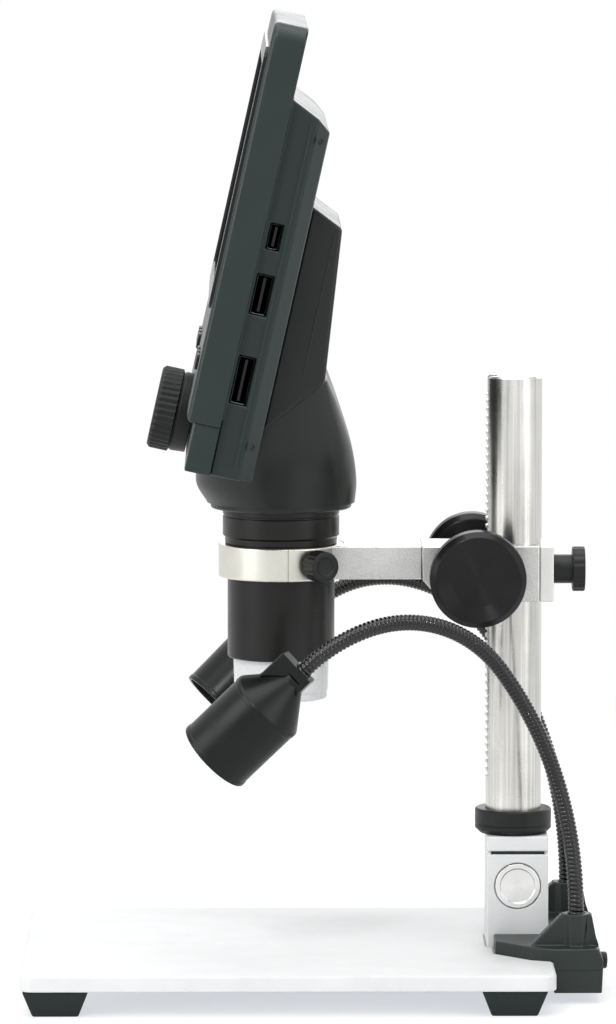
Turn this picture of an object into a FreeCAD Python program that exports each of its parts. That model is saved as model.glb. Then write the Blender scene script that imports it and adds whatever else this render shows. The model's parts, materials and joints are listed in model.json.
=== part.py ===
import FreeCAD, Part
import math
import os
import Sketcher

# A seven-inch LCD digital microscope on a rack-post stand with two gooseneck lamps, in millimetres.
# +X points from the lens to the post, +Y to the side away from the viewer, and +Z up from the table.
# The screen faces -X and leans back. The origin is on the table, under the middle of the instrument.

V = FreeCAD.Vector
X_AXIS, Y_AXIS, Z_AXIS = V(1, 0, 0), V(0, 1, 0), V(0, 0, 1)
# An edge is parallel to an axis above this cosine, and lies in a plane when it is this near to it
PARALLEL = 0.999
NEAR = 0.01

# Driving sizes: alias and value, grouped as the instrument comes apart on a bench
STAND_SIZES = {
    "plate_left": -116.7, "plate_length": 210, "plate_width": 165, "plate_thick": 6.5,
    "plate_corner": 5, "plate_edge": 0.6, "seat_depth": 0.5, "seat_margin": 0.4,
    "foot_height": 10.5, "foot_top": 26, "foot_bottom": 18, "foot_from_left": 13.8,
    "foot_from_right": 16.2, "foot_from_side": 14, "foot_recess": 4, "foot_head_sunk": 1.5,
    "screw_radius": 1.6, "screw_head_radius": 3.2, "screw_gap": 0.3,
    "post_x": 79.2, "post_radius": 11.1, "post_length": 184, "post_edge": 0.8,
    "block_offset": 1.4, "block_width": 24.6, "block_depth": 28, "block_height": 44.3,
    "block_groove_drop": 6, "block_groove": 1.2, "cap_radius": 9, "cap_drop": 20,
    "cap_sink": 2, "cap_proud": 0.4, "cap_dish": 0.8, "cap_rim": 2, "cap_gap": 0.3,
    "collar_radius": 15.3, "collar_height": 10, "collar_chamfer": 2, "running_gap": 0.05,
}
RACK_SIZES = {
    "rack_module": 1, "rack_width": 7, "rack_root": 1.25, "rack_tip": 0.9, "rack_back": 2,
    "rack_pitch_line": 10.4, "rack_teeth": 49, "rack_start": 23, "rack_flank": 20, "rest_gap": 27,
    "pinion_teeth": 10, "pinion_tip": 0.85, "pinion_width": 6.4, "pinion_mesh_gap": 0.15,
    "tooth_tip_width": 0.5, "tooth_root_width": 1.7, "tooth_sink": 0.4, "channel_gap": 0.4,
}
CARRIAGE_SIZES = {
    "carriage_reach": 37.2, "carriage_back": 9.8, "end_plate_thick": 5.6, "carriage_width": 30,
    "carriage_over": 10.65, "carriage_under": 11.55, "carriage_nose": 8, "arm_height": 13.2,
    "shaft_radius": 3, "bush_length": 6, "bush_radius": 6.3, "bush_flange": 1.2, "knob_gap": 0.2,
    "knob_radius": 19.1, "knob_thick": 13, "knob_face": 42, "knob_edge": 2, "knob_dish": 1.2,
    "knob_dish_radius": 10.5, "knob_hub_radius": 7.5,
    "lens_x": -14, "ring_wall": 3.55, "barrel_gap": 0.05, "seat_gap": 0.3,
    "ring_screw_angle": 60, "ring_screw_head_radius": 6.2, "ring_screw_head": 8,
    "ring_screw_stand_off": 2, "ring_screw_radius": 2, "ring_screw_tip_gap": 0.6,
    "grip_ribs": 16, "grip_rib_depth": 0.7, "grip_edge": 0.6,
    "brake_stem_radius": 5.8, "brake_stem_length": 8, "brake_head_radius": 9, "brake_head_thick": 5,
    "brake_screw_radius": 3, "brake_pad_thick": 1.1, "brake_gap": 0.3,
}
HEAD_SIZES = {
    "head_tilt": 12.6, "head_lean": 37.2, "head_rise": 42.5,
    "screen_up": 96, "screen_width": 156, "screen_height": 88, "bezel_side": 8, "bezel_border": 7.8,
    "bezel_proud": 1.3, "bezel_corner": 5, "cover_side": 3, "cover_above": 10.2,
    "cover_depth": 13.5, "cover_wall": 2.4, "cover_corner": 7, "cover_edge": 2.4,
    "chin_height": 19, "chin_step": 3.4, "chin_inset": 1,
    "glass_thick": 1.4, "glass_sink": 0.4, "glass_gap": 0.15, "panel_border": 4.5, "panel_thick": 5,
    "board_inset": 7.5, "board_thick": 1.6, "layer_gap": 0.2,
    "rear_inset": 7, "rear_drop": 28.1, "rear_side_depth": 11.5, "rear_depth": 16.8, "rear_slope": 5.4,
    "rear_bevel": 7, "rear_bevel_drop": 4.5, "rear_fit": 0.1,
    "battery_width": 90, "battery_height": 55, "battery_thick": 8.5,
    "core_width": 96, "core_top_front": 89.5, "core_top_rear": 83.3, "core_depth_top": 13.6,
    "core_depth_low": 20.1, "core_low_rear": 22.7, "core_low_front": -2,
}
OPTICS_SIZES = {
    "base_radius": 29.5, "base_rim": 2.2, "base_rim_inset": 1.4, "upper_barrel_radius": 23.3,
    "upper_barrel_length": 14.1, "upper_barrel_foot": 0.9, "upper_barrel_groove": 2.6,
    "lower_barrel_radius": 21.4, "lower_barrel_length": 46, "barrel_chamber": 20, "barrel_edge": 0.6,
    "hood_radius": 19.1, "hood_taper": 0.7, "hood_wall": 1.4, "hood_length": 16.5, "hood_seat": 6,
    "cell_radius": 10.5, "cell_length": 14, "cell_lip": 1.5, "lens_radius": 8.5, "lens_thick": 3,
    "led_ring_radius": 17.2, "led_ring_thick": 1.6, "led_ring_above_hood": 2, "led_count": 8,
    "led_radius": 1.6, "led_circle": 14, "led_proud": 0.8,
}
CONTROL_SIZES = {
    "dial_drop": 4.6, "dial_radius": 16.7, "dial_skirt_radius": 16, "dial_skirt": 6.6, "dial_cap": 9,
    "dial_step": 0.5, "dial_rim": 1.2, "dial_dish": 0.6, "dial_dish_radius": 11.7,
    "dial_shaft_radius": 3, "dial_shaft_length": 6, "dial_ribs": 36, "dial_rib_depth": 0.8,
    "dial_clearance": 1.6, "dial_gap": 0.3,
    "button_up": 22, "button_first": 34, "button_pitch": 17, "button_length": 11, "button_height": 6,
    "button_proud": 1.2, "button_gap": 0.25, "button_depth": 2.4,
    "usb_up": 76.5, "usb_length": 10.4, "usb_height": 5, "hdmi_up": 53.5, "hdmi_length": 16,
    "hdmi_height": 6.6, "card_up": 19.5, "card_length": 19, "card_height": 6.6,
    "port_line": 4.5, "port_depth": 3.4, "port_sink": 1.2, "port_gap": 0.2, "port_shell": 0.5,
    "port_tongue": 0.8, "port_tongue_edge": 1.6,
}
LAMP_SIZES = {
    "bracket_front": 71, "bracket_mid": 85, "bracket_thick": 19.6, "bracket_lift": 4.3,
    "bracket_front_half": 32, "bracket_mid_half": 47, "bracket_half": 51, "bracket_over": 5,
    "bracket_gap": 0.3, "bracket_draft": 0.6, "bracket_roof": 2,
    "socket_back": 10.5, "socket_side": 40, "socket_rise": 17.7, "socket_radius": 6.2, "socket_bore": 3.5,
    "socket_depth": 9, "wing_front": 84.7, "wing_thick": 7, "wing_drop": 0.6,
    "switch_height": 12, "switch_side": 18, "switch_radius": 3.4, "switch_proud": 3.4, "switch_depth": 5,
    "switch_dome": 0.9, "switch_room": 1.2,
    "inlet_side": 18, "inlet_width": 8.4, "inlet_height": 3.2, "inlet_depth": 5,
    "neck_radius": 3.2, "neck_heading": 28, "neck_lead": 1.5, "neck_end_gap": 0.5,
    "neck_rise_radius": 155, "neck_rise_turn": 39, "neck_arch_radius": 58, "neck_arch_turn": 61,
    "neck_tip_radius": 38, "neck_tail": 6,
    "lamp_heading": 15, "lamp_pitch": 44, "lamp_radius": 15.7, "lamp_length": 46, "lamp_cone": 16,
    "lamp_neck_radius": 5, "lamp_neck_length": 2, "lamp_wall": 1.5, "lamp_edge": 0.6,
    "lamp_lens_inset": 3, "lamp_lens_thick": 2, "lamp_board_back": 22, "lamp_board_thick": 1.6,
    "lamp_led_radius": 3.5, "lamp_led_proud": 2, "saddle_width": 8.4, "saddle_height": 10.5,
    "saddle_length": 13, "saddle_back": 4,
}
GROUPS = (STAND_SIZES, RACK_SIZES, CARRIAGE_SIZES, HEAD_SIZES, OPTICS_SIZES, CONTROL_SIZES, LAMP_SIZES)
ALIASES = {alias for group in GROUPS for alias in group}

# Places that several pieces share, worked out from the driving sizes
TABLE_TOP = "(foot_height + plate_thick)"
PLATE_END = "(plate_left + plate_length)"
BLOCK_X = "(post_x + block_offset)"
BLOCK_TOP = f"({TABLE_TOP} + block_height)"
RACK_PITCH = f"({math.pi} * rack_module)"
RACK_ROOT = "(rack_pitch_line - rack_root * rack_module)"
RACK_BACK = f"({RACK_ROOT} - rack_back)"
RACK_TIP = "(rack_pitch_line + rack_tip * rack_module)"
PINION_X = "(post_x - rack_pitch_line - pinion_teeth * rack_module / 2 - pinion_mesh_gap)"
PINION_Z = f"({BLOCK_TOP} + rack_start + {RACK_PITCH} * (rest_gap - 0.5))"
CARRIAGE_TOP = f"({PINION_Z} + carriage_over)"
CARRIAGE_BOTTOM = f"({PINION_Z} - carriage_under)"
CARRIAGE_FRONT = "(post_x - carriage_reach)"
CARRIAGE_REAR = "(post_x + carriage_back)"
PLATE_REAR = f"({CARRIAGE_REAR} + end_plate_thick)"
RING_BORE = "(lower_barrel_radius + barrel_gap)"
RING_RADIUS = f"({RING_BORE} + ring_wall)"
SEAT = f"({CARRIAGE_TOP} + seat_gap)"
BARREL_BOTTOM = f"({SEAT} - lower_barrel_length)"
HEAD_X = "(lens_x - head_lean)"
HEAD_Z = f"({SEAT} + upper_barrel_length + head_rise)"
BEZEL_WIDTH = "(screen_width + 2 * bezel_side)"
BEZEL_HEIGHT = "(screen_height + 2 * bezel_border)"
COVER_HALF = f"({BEZEL_WIDTH} / 2 + cover_side)"
COVER_HEIGHT = f"(screen_up + {BEZEL_HEIGHT} / 2 + cover_above)"
REAR_HALF = f"({COVER_HALF} - rear_inset)"
REAR_FACE = "(cover_depth + rear_depth)"
PORT_AT = "(cover_depth + port_line)"
BRACKET_FRONT_WALL = f"({PLATE_END} + bracket_gap)"
BRACKET_BACK = f"({BRACKET_FRONT_WALL} + bracket_thick)"
SOCKET_X = f"({BRACKET_BACK} - socket_back)"
SOCKET_TOP = f"({TABLE_TOP} + socket_rise)"
SEAT_FLOOR = f"({TABLE_TOP} - seat_depth)"
TRAY_HALVES = ("bracket_half", "bracket_mid_half", "bracket_front_half")

# Sockets on the near side of the rear housing: label and the first word of its sizes
PORTS = (("usb_socket", "usb"), ("hdmi_socket", "hdmi"), ("card_slot", "card"))

doc = FreeCAD.newDocument("lcd_digital_microscope")
dims = doc.addObject("Spreadsheet::Sheet", "dims")
sub_parts = []


def fill_sheet():
    """Writes each driving size into the sheet as a plain number with its alias."""
    row = 0
    for group in GROUPS:
        for alias, value in group.items():
            row += 1
            dims.set(f"A{row}", alias)
            dims.set(f"B{row}", str(value))
            dims.setAlias(f"B{row}", alias)
    doc.recompute()


def size(alias):
    """The sheet's value of one size."""
    return float(dims.get(alias))


def bound(expression):
    """The expression with every alias read from the sheet."""
    out, word = [], ""
    for character in expression + " ":
        if character.isalnum() or character == "_":
            word += character
            continue
        out.append(f"dims.{word}" if word in ALIASES else word)
        out.append(character)
        word = ""
    return "".join(out).strip()


class Piece:
    """One PartDesign body whose sketches, features and placement are bound to the sheet."""

    def __init__(self, label, kept=True):
        self.body = doc.addObject("PartDesign::Body", label)
        self.body.Label = label
        self.steps = 0
        if kept:
            sub_parts.append(self.body)

    def origin(self, role):
        """One of the body's own origin planes or axes."""
        return [f for f in self.body.Origin.OriginFeatures if f.Role == role][0]

    def add(self, kind):
        """A new feature of the body, numbered in the order of making."""
        self.steps += 1
        return self.body.newObject(kind, f"{self.body.Name}_{kind.split('::')[1]}_{self.steps}")

    def sketch(self, role, lift=None):
        """A sketch on one of the body's own origin planes, lifted along its normal."""
        sketch = self.add("Sketcher::SketchObject")
        sketch.AttachmentSupport = [(self.origin(role), "")]
        sketch.MapMode = "FlatFace"
        if lift is not None:
            sketch.setExpression("AttachmentOffset.Base.z", bound(lift))
        return sketch

    @staticmethod
    def bind(sketch, constraint, expression):
        """Adds a constraint whose value is bound to the sheet."""
        sketch.setExpression(f"Constraints[{sketch.addConstraint(constraint)}]", bound(expression))

    def polygon(self, sketch, points):
        """A closed outline whose corners are bound to the sheet."""
        first, count = sketch.GeometryCount, len(points)
        turns = [2 * math.pi * i / count for i in range(count)]
        start = [V(math.cos(turn), math.sin(turn), 0) for turn in turns]
        for i in range(count):
            sketch.addGeometry(Part.LineSegment(start[i], start[(i + 1) % count]), False)
        for i in range(count):
            sketch.addConstraint(Sketcher.Constraint("Coincident", first + i, 2, first + (i + 1) % count, 1))
        for i, (across, up) in enumerate(points):
            self.bind(sketch, Sketcher.Constraint("DistanceX", -1, 1, first + i, 1, start[i].x), across)
            self.bind(sketch, Sketcher.Constraint("DistanceY", -1, 1, first + i, 1, start[i].y), up)
        return sketch

    def rectangle(self, sketch, left, right, low, high):
        """A rectangle between four bound lines."""
        return self.polygon(sketch, [(left, low), (right, low), (right, high), (left, high)])

    def square(self, sketch, half):
        """A square about the sketch's origin."""
        return self.rectangle(sketch, f"-{half}", half, f"-{half}", half)

    def circle(self, sketch, across, up, radius):
        """A circle whose centre and radius are bound to the sheet."""
        index = sketch.addGeometry(Part.Circle(V(1, 1, 0), Z_AXIS, 1), False)
        self.bind(sketch, Sketcher.Constraint("DistanceX", -1, 1, index, 3, 1), across)
        self.bind(sketch, Sketcher.Constraint("DistanceY", -1, 1, index, 3, 1), up)
        self.bind(sketch, Sketcher.Constraint("Radius", index, 1), radius)
        return sketch

    def raise_or_cut(self, kind, sketch, length, both, flip):
        """A pad or pocket of a bound length, or a pocket right through."""
        made = self.add(f"PartDesign::{kind}")
        made.Profile = sketch
        made.Reversed = flip
        if both:
            made.SideType = "Symmetric"
        if length is None:
            made.Type = "ThroughAll"
        else:
            made.setExpression("Length", bound(length))
        return made

    def pad(self, sketch, length, both=False, flip=False):
        """Adds the outline's solid along its normal."""
        return self.raise_or_cut("Pad", sketch, length, both, flip)

    def pocket(self, sketch, length=None, both=False, flip=False):
        """Cuts the outline's solid against its normal."""
        return self.raise_or_cut("Pocket", sketch, length, both, flip)

    def turn(self, points):
        """A profile of (radius, height) corners turned about the body's own Z axis."""
        sketch = self.polygon(self.sketch("XZ_Plane"), points)
        made = self.add("PartDesign::Revolution")
        made.Profile = sketch
        made.ReferenceAxis = (sketch, ["V_Axis"])
        made.Angle = 360
        return made

    def loft(self, sections):
        """A straight-sided loft through bound sketches."""
        made = self.add("PartDesign::AdditiveLoft")
        made.Profile = sections[0]
        made.Sections = sections[1:]
        made.Ruled = True
        return made

    def around(self, original, count):
        """The feature repeated about the body's Z axis."""
        pattern = self.add("PartDesign::PolarPattern")
        pattern.Originals = [original]
        pattern.Axis = (self.origin("Z_Axis"), [""])
        pattern.Angle = 360
        pattern.setExpression("Occurrences", bound(count))
        self.body.Tip = pattern

    def along(self, original, length, count):
        """The feature repeated along the body's Z axis."""
        pattern = self.add("PartDesign::LinearPattern")
        pattern.Originals = [original]
        pattern.Direction = (self.origin("Z_Axis"), [""])
        pattern.setExpression("Length", bound(length))
        pattern.setExpression("Occurrences", bound(count))
        self.body.Tip = pattern

    def soften(self, chosen, amount, kind="Fillet"):
        """Rounds or chamfers the edges of the last feature that the test picks."""
        doc.recompute()
        tip = self.body.Tip
        edges = [f"Edge{i + 1}" for i, edge in enumerate(tip.Shape.Edges) if chosen(edge)]
        made = self.add(f"PartDesign::{kind}")
        made.Base = (tip, edges)
        made.setExpression("Radius" if kind == "Fillet" else "Size", bound(amount))

    def place(self, across="0", side="0", up="0", axis=Z_AXIS, angle="0"):
        """Puts the body at a bound point, turned by a bound angle about an axis through it."""
        place_bound(self.body, across, side, up, axis, angle)
        return self

    def on_head(self):
        """Places what is drawn in the head's own frame: local X goes into the head, local Z up the screen."""
        return self.place(HEAD_X, "0", HEAD_Z, Y_AXIS, "head_tilt")


def place_bound(item, across, side, up, axis=Z_AXIS, angle="0"):
    """Binds an object's position and its angle about one axis to the sheet."""
    item.Placement = FreeCAD.Placement(V(0, 0, 0), FreeCAD.Rotation(axis, 1))
    item.setExpression("Placement.Rotation.Angle", bound(angle))
    item.setExpression("Placement.Base.x", bound(across))
    item.setExpression("Placement.Base.y", bound(side))
    item.setExpression("Placement.Base.z", bound(up))


def repeated(label, piece, spots):
    """One sub-part of several equal solids: a linked copy of the piece at each bound spot."""
    copies = []
    for across, side, up, angle in spots:
        link = doc.addObject("App::Link", f"{label}_{len(copies) + 1}")
        link.LinkedObject = piece.body
        place_bound(link, across, side, up, Z_AXIS, angle)
        copies.append(link)
    group = doc.addObject("Part::Compound", label)
    group.Label = label
    group.Links = copies
    sub_parts.append(group)


def shaped(label, shape):
    """A sub-part whose shape comes from Part's own functions."""
    item = doc.addObject("Part::Feature", label)
    item.Label = label
    item.Shape = shape
    sub_parts.append(item)


def runs_along(axis):
    """A test for straight edges along one axis."""
    def test(edge):
        straight = edge.Curve.TypeId == "Part::GeomLine"
        return straight and abs(edge.tangentAt(edge.FirstParameter).dot(axis)) > PARALLEL
    return test


def make_base_plate():
    """The specimen plate: rounded corners, a chamfered top, and a shallow seat for what stands on it."""
    plate = Piece("base_plate")
    plate.pad(plate.rectangle(
        plate.sketch("XY_Plane"), "plate_left", PLATE_END, "-plate_width / 2", "plate_width / 2",
    ), "plate_thick")
    plate.soften(runs_along(Z_AXIS), "plate_corner")
    top = size("plate_thick")
    plate.soften(lambda edge: edge.BoundBox.ZMin > top - NEAR, "plate_edge", "Chamfer")
    wide, middle, narrow = (f"({half} + seat_margin)" for half in TRAY_HALVES)
    plate.pocket(plate.polygon(plate.sketch("XY_Plane", "plate_thick"), [
        ("bracket_front - seat_margin", f"-{narrow}"), ("bracket_mid - seat_margin", f"-{middle}"),
        (f"{BRACKET_FRONT_WALL} - seat_margin", f"-{wide}"), (BRACKET_BACK, f"-{wide}"),
        (BRACKET_BACK, wide), (f"{BRACKET_FRONT_WALL} - seat_margin", wide),
        ("bracket_mid - seat_margin", middle), ("bracket_front - seat_margin", narrow),
    ]), "seat_depth")
    plate.pocket(plate.rectangle(
        plate.sketch("XY_Plane", "plate_thick"), f"{BLOCK_X} - block_width / 2 - seat_margin", BLOCK_X,
        "-block_depth / 2 - seat_margin", "block_depth / 2 + seat_margin",
    ), "seat_depth")
    plate.place(up="foot_height")


def make_feet():
    """Four tapered rubber feet with counterbored holes, and the screws that hold them."""
    foot = Piece("foot_pattern", kept=False)
    foot.loft([
        foot.square(foot.sketch("XY_Plane", height), f"{width} / 2")
        for width, height in (("foot_bottom", "0"), ("foot_top", "foot_height"))
    ])
    foot.pocket(foot.circle(
        foot.sketch("XY_Plane"), "0", "0", "screw_head_radius + screw_gap",
    ), "foot_recess", flip=True)
    foot.pocket(foot.circle(foot.sketch("XY_Plane"), "0", "0", "screw_radius + running_gap"), flip=True)
    screw = Piece("foot_screw_pattern", kept=False)
    screw.turn([
        ("0", "foot_head_sunk"), ("screw_head_radius", "foot_head_sunk"),
        ("screw_head_radius", "foot_recess"),
        ("screw_radius", "foot_recess"), ("screw_radius", "foot_height"), ("0", "foot_height"),
    ])
    left, right = "plate_left + foot_from_left", f"{PLATE_END} - foot_from_right"
    side = "(plate_width / 2 - foot_from_side)"
    spots = [(x, y, "0", "0") for x in (left, right) for y in (f"-{side}", side)]
    repeated("rubber_feet", foot, spots)
    repeated("foot_screws", screw, spots)


def make_post_foot():
    """The aluminium block under the post, with a saw cut near its top and a sunk round cap each side."""
    block = Piece("post_foot")
    tall = "(block_height + seat_depth)"
    block.pad(block.rectangle(
        block.sketch("XY_Plane"), "-block_width / 2", "block_width / 2", "-block_depth / 2",
        "block_depth / 2",
    ), tall)
    block.soften(runs_along(Z_AXIS), "plate_edge")
    high = f"{tall} - block_groove_drop"
    for sign in ("-", ""):
        block.pocket(block.rectangle(
            block.sketch("YZ_Plane"), f"{sign}(block_depth / 2 - block_groove)", f"{sign}block_depth",
            f"{high} - block_groove", high,
        ), "2 * block_width", both=True)
    for lift, flip in (("block_depth / 2", False), ("-block_depth / 2", True)):
        block.pocket(block.circle(
            block.sketch("XZ_Plane", lift), "0", f"{tall} - cap_drop", "cap_radius + cap_gap",
        ), "cap_sink", flip=flip)
    block.place(BLOCK_X, "0", SEAT_FLOOR)
    cap = Piece("cap_pattern", kept=False)
    cap.turn([
        ("0", "0"), ("cap_radius", "0"), ("cap_radius", "cap_sink + cap_proud"),
        ("cap_radius - cap_rim", "cap_sink + cap_proud"),
        ("cap_radius - cap_rim", "cap_sink + cap_proud - cap_dish"), ("0", "cap_sink + cap_proud - cap_dish"),
    ])
    cap.place("0", "0", "0", X_AXIS, "90")
    up = f"{BLOCK_TOP} - cap_drop"
    repeated_on_sides("cross_bolt_caps", cap, BLOCK_X, "block_depth / 2 - cap_sink", up)


def repeated_on_sides(label, piece, across, side, up):
    """Two equal solids that face away from the middle plane: the piece's own axis points to -Y."""
    turned = []
    for name, sign, angle in (("near", "-", "90"), ("far", "", "-90")):
        link = doc.addObject("App::Link", f"{label}_{name}")
        link.LinkedObject = piece.body
        place_bound(link, across, f"{sign}({side})", up, X_AXIS, angle)
        turned.append(link)
    group = doc.addObject("Part::Compound", label)
    group.Label = label
    group.Links = turned
    sub_parts.append(group)


def make_collar():
    """The black collar that clamps the post to its foot."""
    collar = Piece("post_collar")
    bore = "post_radius + running_gap"
    collar.turn([
        (bore, "0"), ("collar_radius - collar_chamfer", "0"), ("collar_radius", "collar_chamfer"),
        ("collar_radius", "collar_height - plate_edge"), ("collar_radius - plate_edge", "collar_height"),
        (bore, "collar_height"),
    ])
    collar.place("post_x", "0", BLOCK_TOP)


def make_post():
    """The post, milled from its top down its front face for the rack."""
    post = Piece("post")
    post.turn([
        ("0", "0"), ("post_radius", "0"), ("post_radius", "post_length - post_edge"),
        ("post_radius - post_edge", "post_length"), ("0", "post_length"),
    ])
    post.pocket(post.rectangle(
        post.sketch("XY_Plane", "post_length"), "-2 * post_radius", f"-{RACK_BACK}", "-rack_width / 2",
        "rack_width / 2",
    ), "post_length - rack_start")
    post.place("post_x", "0", BLOCK_TOP)


def make_rack():
    """The rack: a strip in the post's slot with straight-flanked gaps cut at the pitch."""
    rack = Piece("focus_rack")
    rack.pad(rack.rectangle(
        rack.sketch("XZ_Plane"), f"-{RACK_TIP}", f"-{RACK_BACK}", "0", f"{RACK_PITCH} * rack_teeth",
    ), "rack_width", both=True)
    half_tip = f"({RACK_PITCH} / 4 + rack_tip * rack_module * tan(rack_flank * 1deg))"
    half_root = f"({RACK_PITCH} / 4 - rack_root * rack_module * tan(rack_flank * 1deg))"
    middle = f"{RACK_PITCH} / 2"
    gap = rack.pocket(rack.polygon(rack.sketch("XZ_Plane"), [
        (f"-{RACK_TIP}", f"{middle} - {half_tip}"), (f"-{RACK_ROOT}", f"{middle} - {half_root}"),
        (f"-{RACK_ROOT}", f"{middle} + {half_root}"), (f"-{RACK_TIP}", f"{middle} + {half_tip}"),
    ]), "2 * rack_width", both=True)
    rack.along(gap, f"{RACK_PITCH} * (rack_teeth - 1)", "rack_teeth")
    rack.place("post_x", "0", f"{BLOCK_TOP} + rack_start")


def make_focus_drive():
    """The pinion, its shaft through the carriage, and a dished knob on each end."""
    pinion = Piece("pinion")
    root = "(pinion_teeth / 2 - rack_root) * rack_module"
    tip = "(pinion_teeth / 2 + pinion_tip) * rack_module"
    pinion.pad(pinion.circle(
        pinion.circle(pinion.sketch("XY_Plane"), "0", "0", root), "0", "0", "shaft_radius",
    ), "pinion_width", both=True)
    tooth = pinion.pad(pinion.polygon(pinion.sketch("XY_Plane"), [
        (f"{root} - tooth_sink * rack_module", "-tooth_root_width * rack_module / 2"),
        (root, "-tooth_root_width * rack_module / 2"), (tip, "-tooth_tip_width * rack_module / 2"),
        (tip, "tooth_tip_width * rack_module / 2"), (root, "tooth_root_width * rack_module / 2"),
        (f"{root} - tooth_sink * rack_module", "tooth_root_width * rack_module / 2"),
    ]), "pinion_width", both=True)
    pinion.around(tooth, "pinion_teeth")
    pinion.place(PINION_X, "0", PINION_Z, X_AXIS, "90")
    shaft = Piece("focus_shaft")
    shaft.pad(shaft.circle(
        shaft.sketch("XZ_Plane"), "0", "0", "shaft_radius",
    ), "2 * (knob_face - knob_edge)", both=True)
    shaft.place(PINION_X, "0", PINION_Z)
    for label, angle in (("focus_knob_left", "90"), ("focus_knob_right", "-90")):
        knob = Piece(label)
        inner, face = "(knob_face - knob_thick)", "knob_face"
        hub = "carriage_width / 2 + bush_flange + knob_gap"
        knob.turn([
            ("shaft_radius", hub), ("knob_hub_radius", hub), ("knob_hub_radius", inner),
            ("knob_radius - knob_edge", inner), ("knob_radius", f"{inner} + knob_edge"),
            ("knob_radius", f"{face} - knob_edge"), ("knob_radius - knob_edge", face),
            ("knob_dish_radius", f"{face} - knob_dish"), ("0", f"{face} - knob_dish"),
            ("0", f"{face} - knob_edge"), ("shaft_radius", f"{face} - knob_edge"),
        ])
        knob.place(PINION_X, "0", PINION_Z, X_AXIS, angle)
    bush = Piece("bush_pattern", kept=False)
    bush.turn([
        ("shaft_radius + running_gap", "-bush_length"), ("bush_radius", "-bush_length"), ("bush_radius", "0"),
        ("knob_hub_radius", "0"), ("knob_hub_radius", "bush_flange"),
        ("shaft_radius + running_gap", "bush_flange"),
    ])
    repeated_on_sides("shaft_bushes", bush, PINION_X, "carriage_width / 2", PINION_Z)


def make_carriage():
    """The block that rides on the post, bored for post, rack and pinion shaft, and its end plate."""
    block = Piece("carriage_block")
    block.pad(block.polygon(block.sketch("XZ_Plane"), [
        (CARRIAGE_FRONT, f"{CARRIAGE_TOP} - arm_height"),
        (f"{CARRIAGE_FRONT} + carriage_nose", CARRIAGE_BOTTOM),
        (CARRIAGE_REAR, CARRIAGE_BOTTOM), (CARRIAGE_REAR, CARRIAGE_TOP), (CARRIAGE_FRONT, CARRIAGE_TOP),
    ]), "carriage_width", both=True)
    bored(block)
    block.pocket(block.rectangle(
        block.sketch("XY_Plane", CARRIAGE_TOP), f"post_x - {RACK_TIP} - channel_gap", "post_x",
        "-rack_width / 2 - channel_gap", "rack_width / 2 + channel_gap",
    ))
    block.pocket(block.circle(
        block.sketch("XZ_Plane"), PINION_X, PINION_Z, "bush_radius",
    ), "2 * carriage_width", both=True)
    front, upright = size("post_x") - size("carriage_reach"), runs_along(Z_AXIS)
    block.soften(lambda edge: upright(edge) and edge.BoundBox.XMax < front + NEAR, "plate_edge")
    end = Piece("carriage_end_plate")
    end.pad(end.rectangle(
        end.sketch("XZ_Plane"), CARRIAGE_REAR, PLATE_REAR, CARRIAGE_BOTTOM, CARRIAGE_TOP,
    ), "carriage_width", both=True)
    bored(end)
    end.pocket(end.circle(
        end.sketch("YZ_Plane", PLATE_REAR), "0", PINION_Z, "brake_screw_radius + running_gap",
    ), f"{PLATE_REAR} - post_x")


def bored(piece):
    """Bores a piece of the carriage for the post."""
    piece.pocket(
        piece.circle(piece.sketch("XY_Plane", CARRIAGE_TOP), "post_x", "0", "post_radius + running_gap"),
    )


def make_arm():
    """The bar from the carriage to the ring, hollowed at its end to seat on the ring."""
    arm = Piece("arm")
    arm.pad(arm.rectangle(
        arm.sketch("XY_Plane", f"{CARRIAGE_TOP} - arm_height"),
        "lens_x", CARRIAGE_FRONT, "-carriage_width / 2", "carriage_width / 2",
    ), "arm_height")
    arm.pocket(arm.circle(arm.sketch("XY_Plane", CARRIAGE_TOP), "lens_x", "0", RING_RADIUS))


def make_ring():
    """The ring that holds the barrel, drilled square for its thumb screw, and that screw."""
    ring = Piece("ring_clamp")
    ring.turn([
        (RING_BORE, "0"), (f"{RING_RADIUS} - plate_edge", "0"), (RING_RADIUS, "plate_edge"),
        (RING_RADIUS, "arm_height - plate_edge"), (f"{RING_RADIUS} - plate_edge", "arm_height"),
        (RING_BORE, "arm_height"),
    ])
    ring.pocket(ring.circle(
        ring.sketch("YZ_Plane"), "0", "arm_height / 2", "ring_screw_radius + running_gap",
    ), f"{RING_RADIUS} + ring_wall", flip=True)
    ring.place("lens_x", "0", f"{CARRIAGE_TOP} - arm_height", Z_AXIS, "-ring_screw_angle")
    stand_off = f"({RING_RADIUS} + ring_screw_stand_off)"
    screw = gripped_screw("ring_thumb_screw", "ring_screw_head_radius", stand_off, "ring_screw_head", [
        ("0", "lower_barrel_radius + ring_screw_tip_gap"),
        ("ring_screw_radius", "lower_barrel_radius + ring_screw_tip_gap"),
        ("ring_screw_radius", stand_off),
    ])
    turn = math.radians(size("ring_screw_angle"))
    screw.place("lens_x", "0", f"{CARRIAGE_TOP} - arm_height / 2", V(math.sin(turn), math.cos(turn), 0), "90")


def gripped_screw(label, radius, start, thick, stem):
    """A thumb screw along its own Z axis: the stem's corners, then a head with grip ribs cut round it."""
    end = f"({start} + {thick})"
    screw = Piece(label)
    screw.turn(stem + [
        (radius, start), (radius, f"{end} - grip_edge"), (f"{radius} - grip_edge", end), ("0", end),
    ])
    v_groove(screw, radius, "grip_rib_depth", end, thick, "grip_ribs")
    return screw


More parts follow.
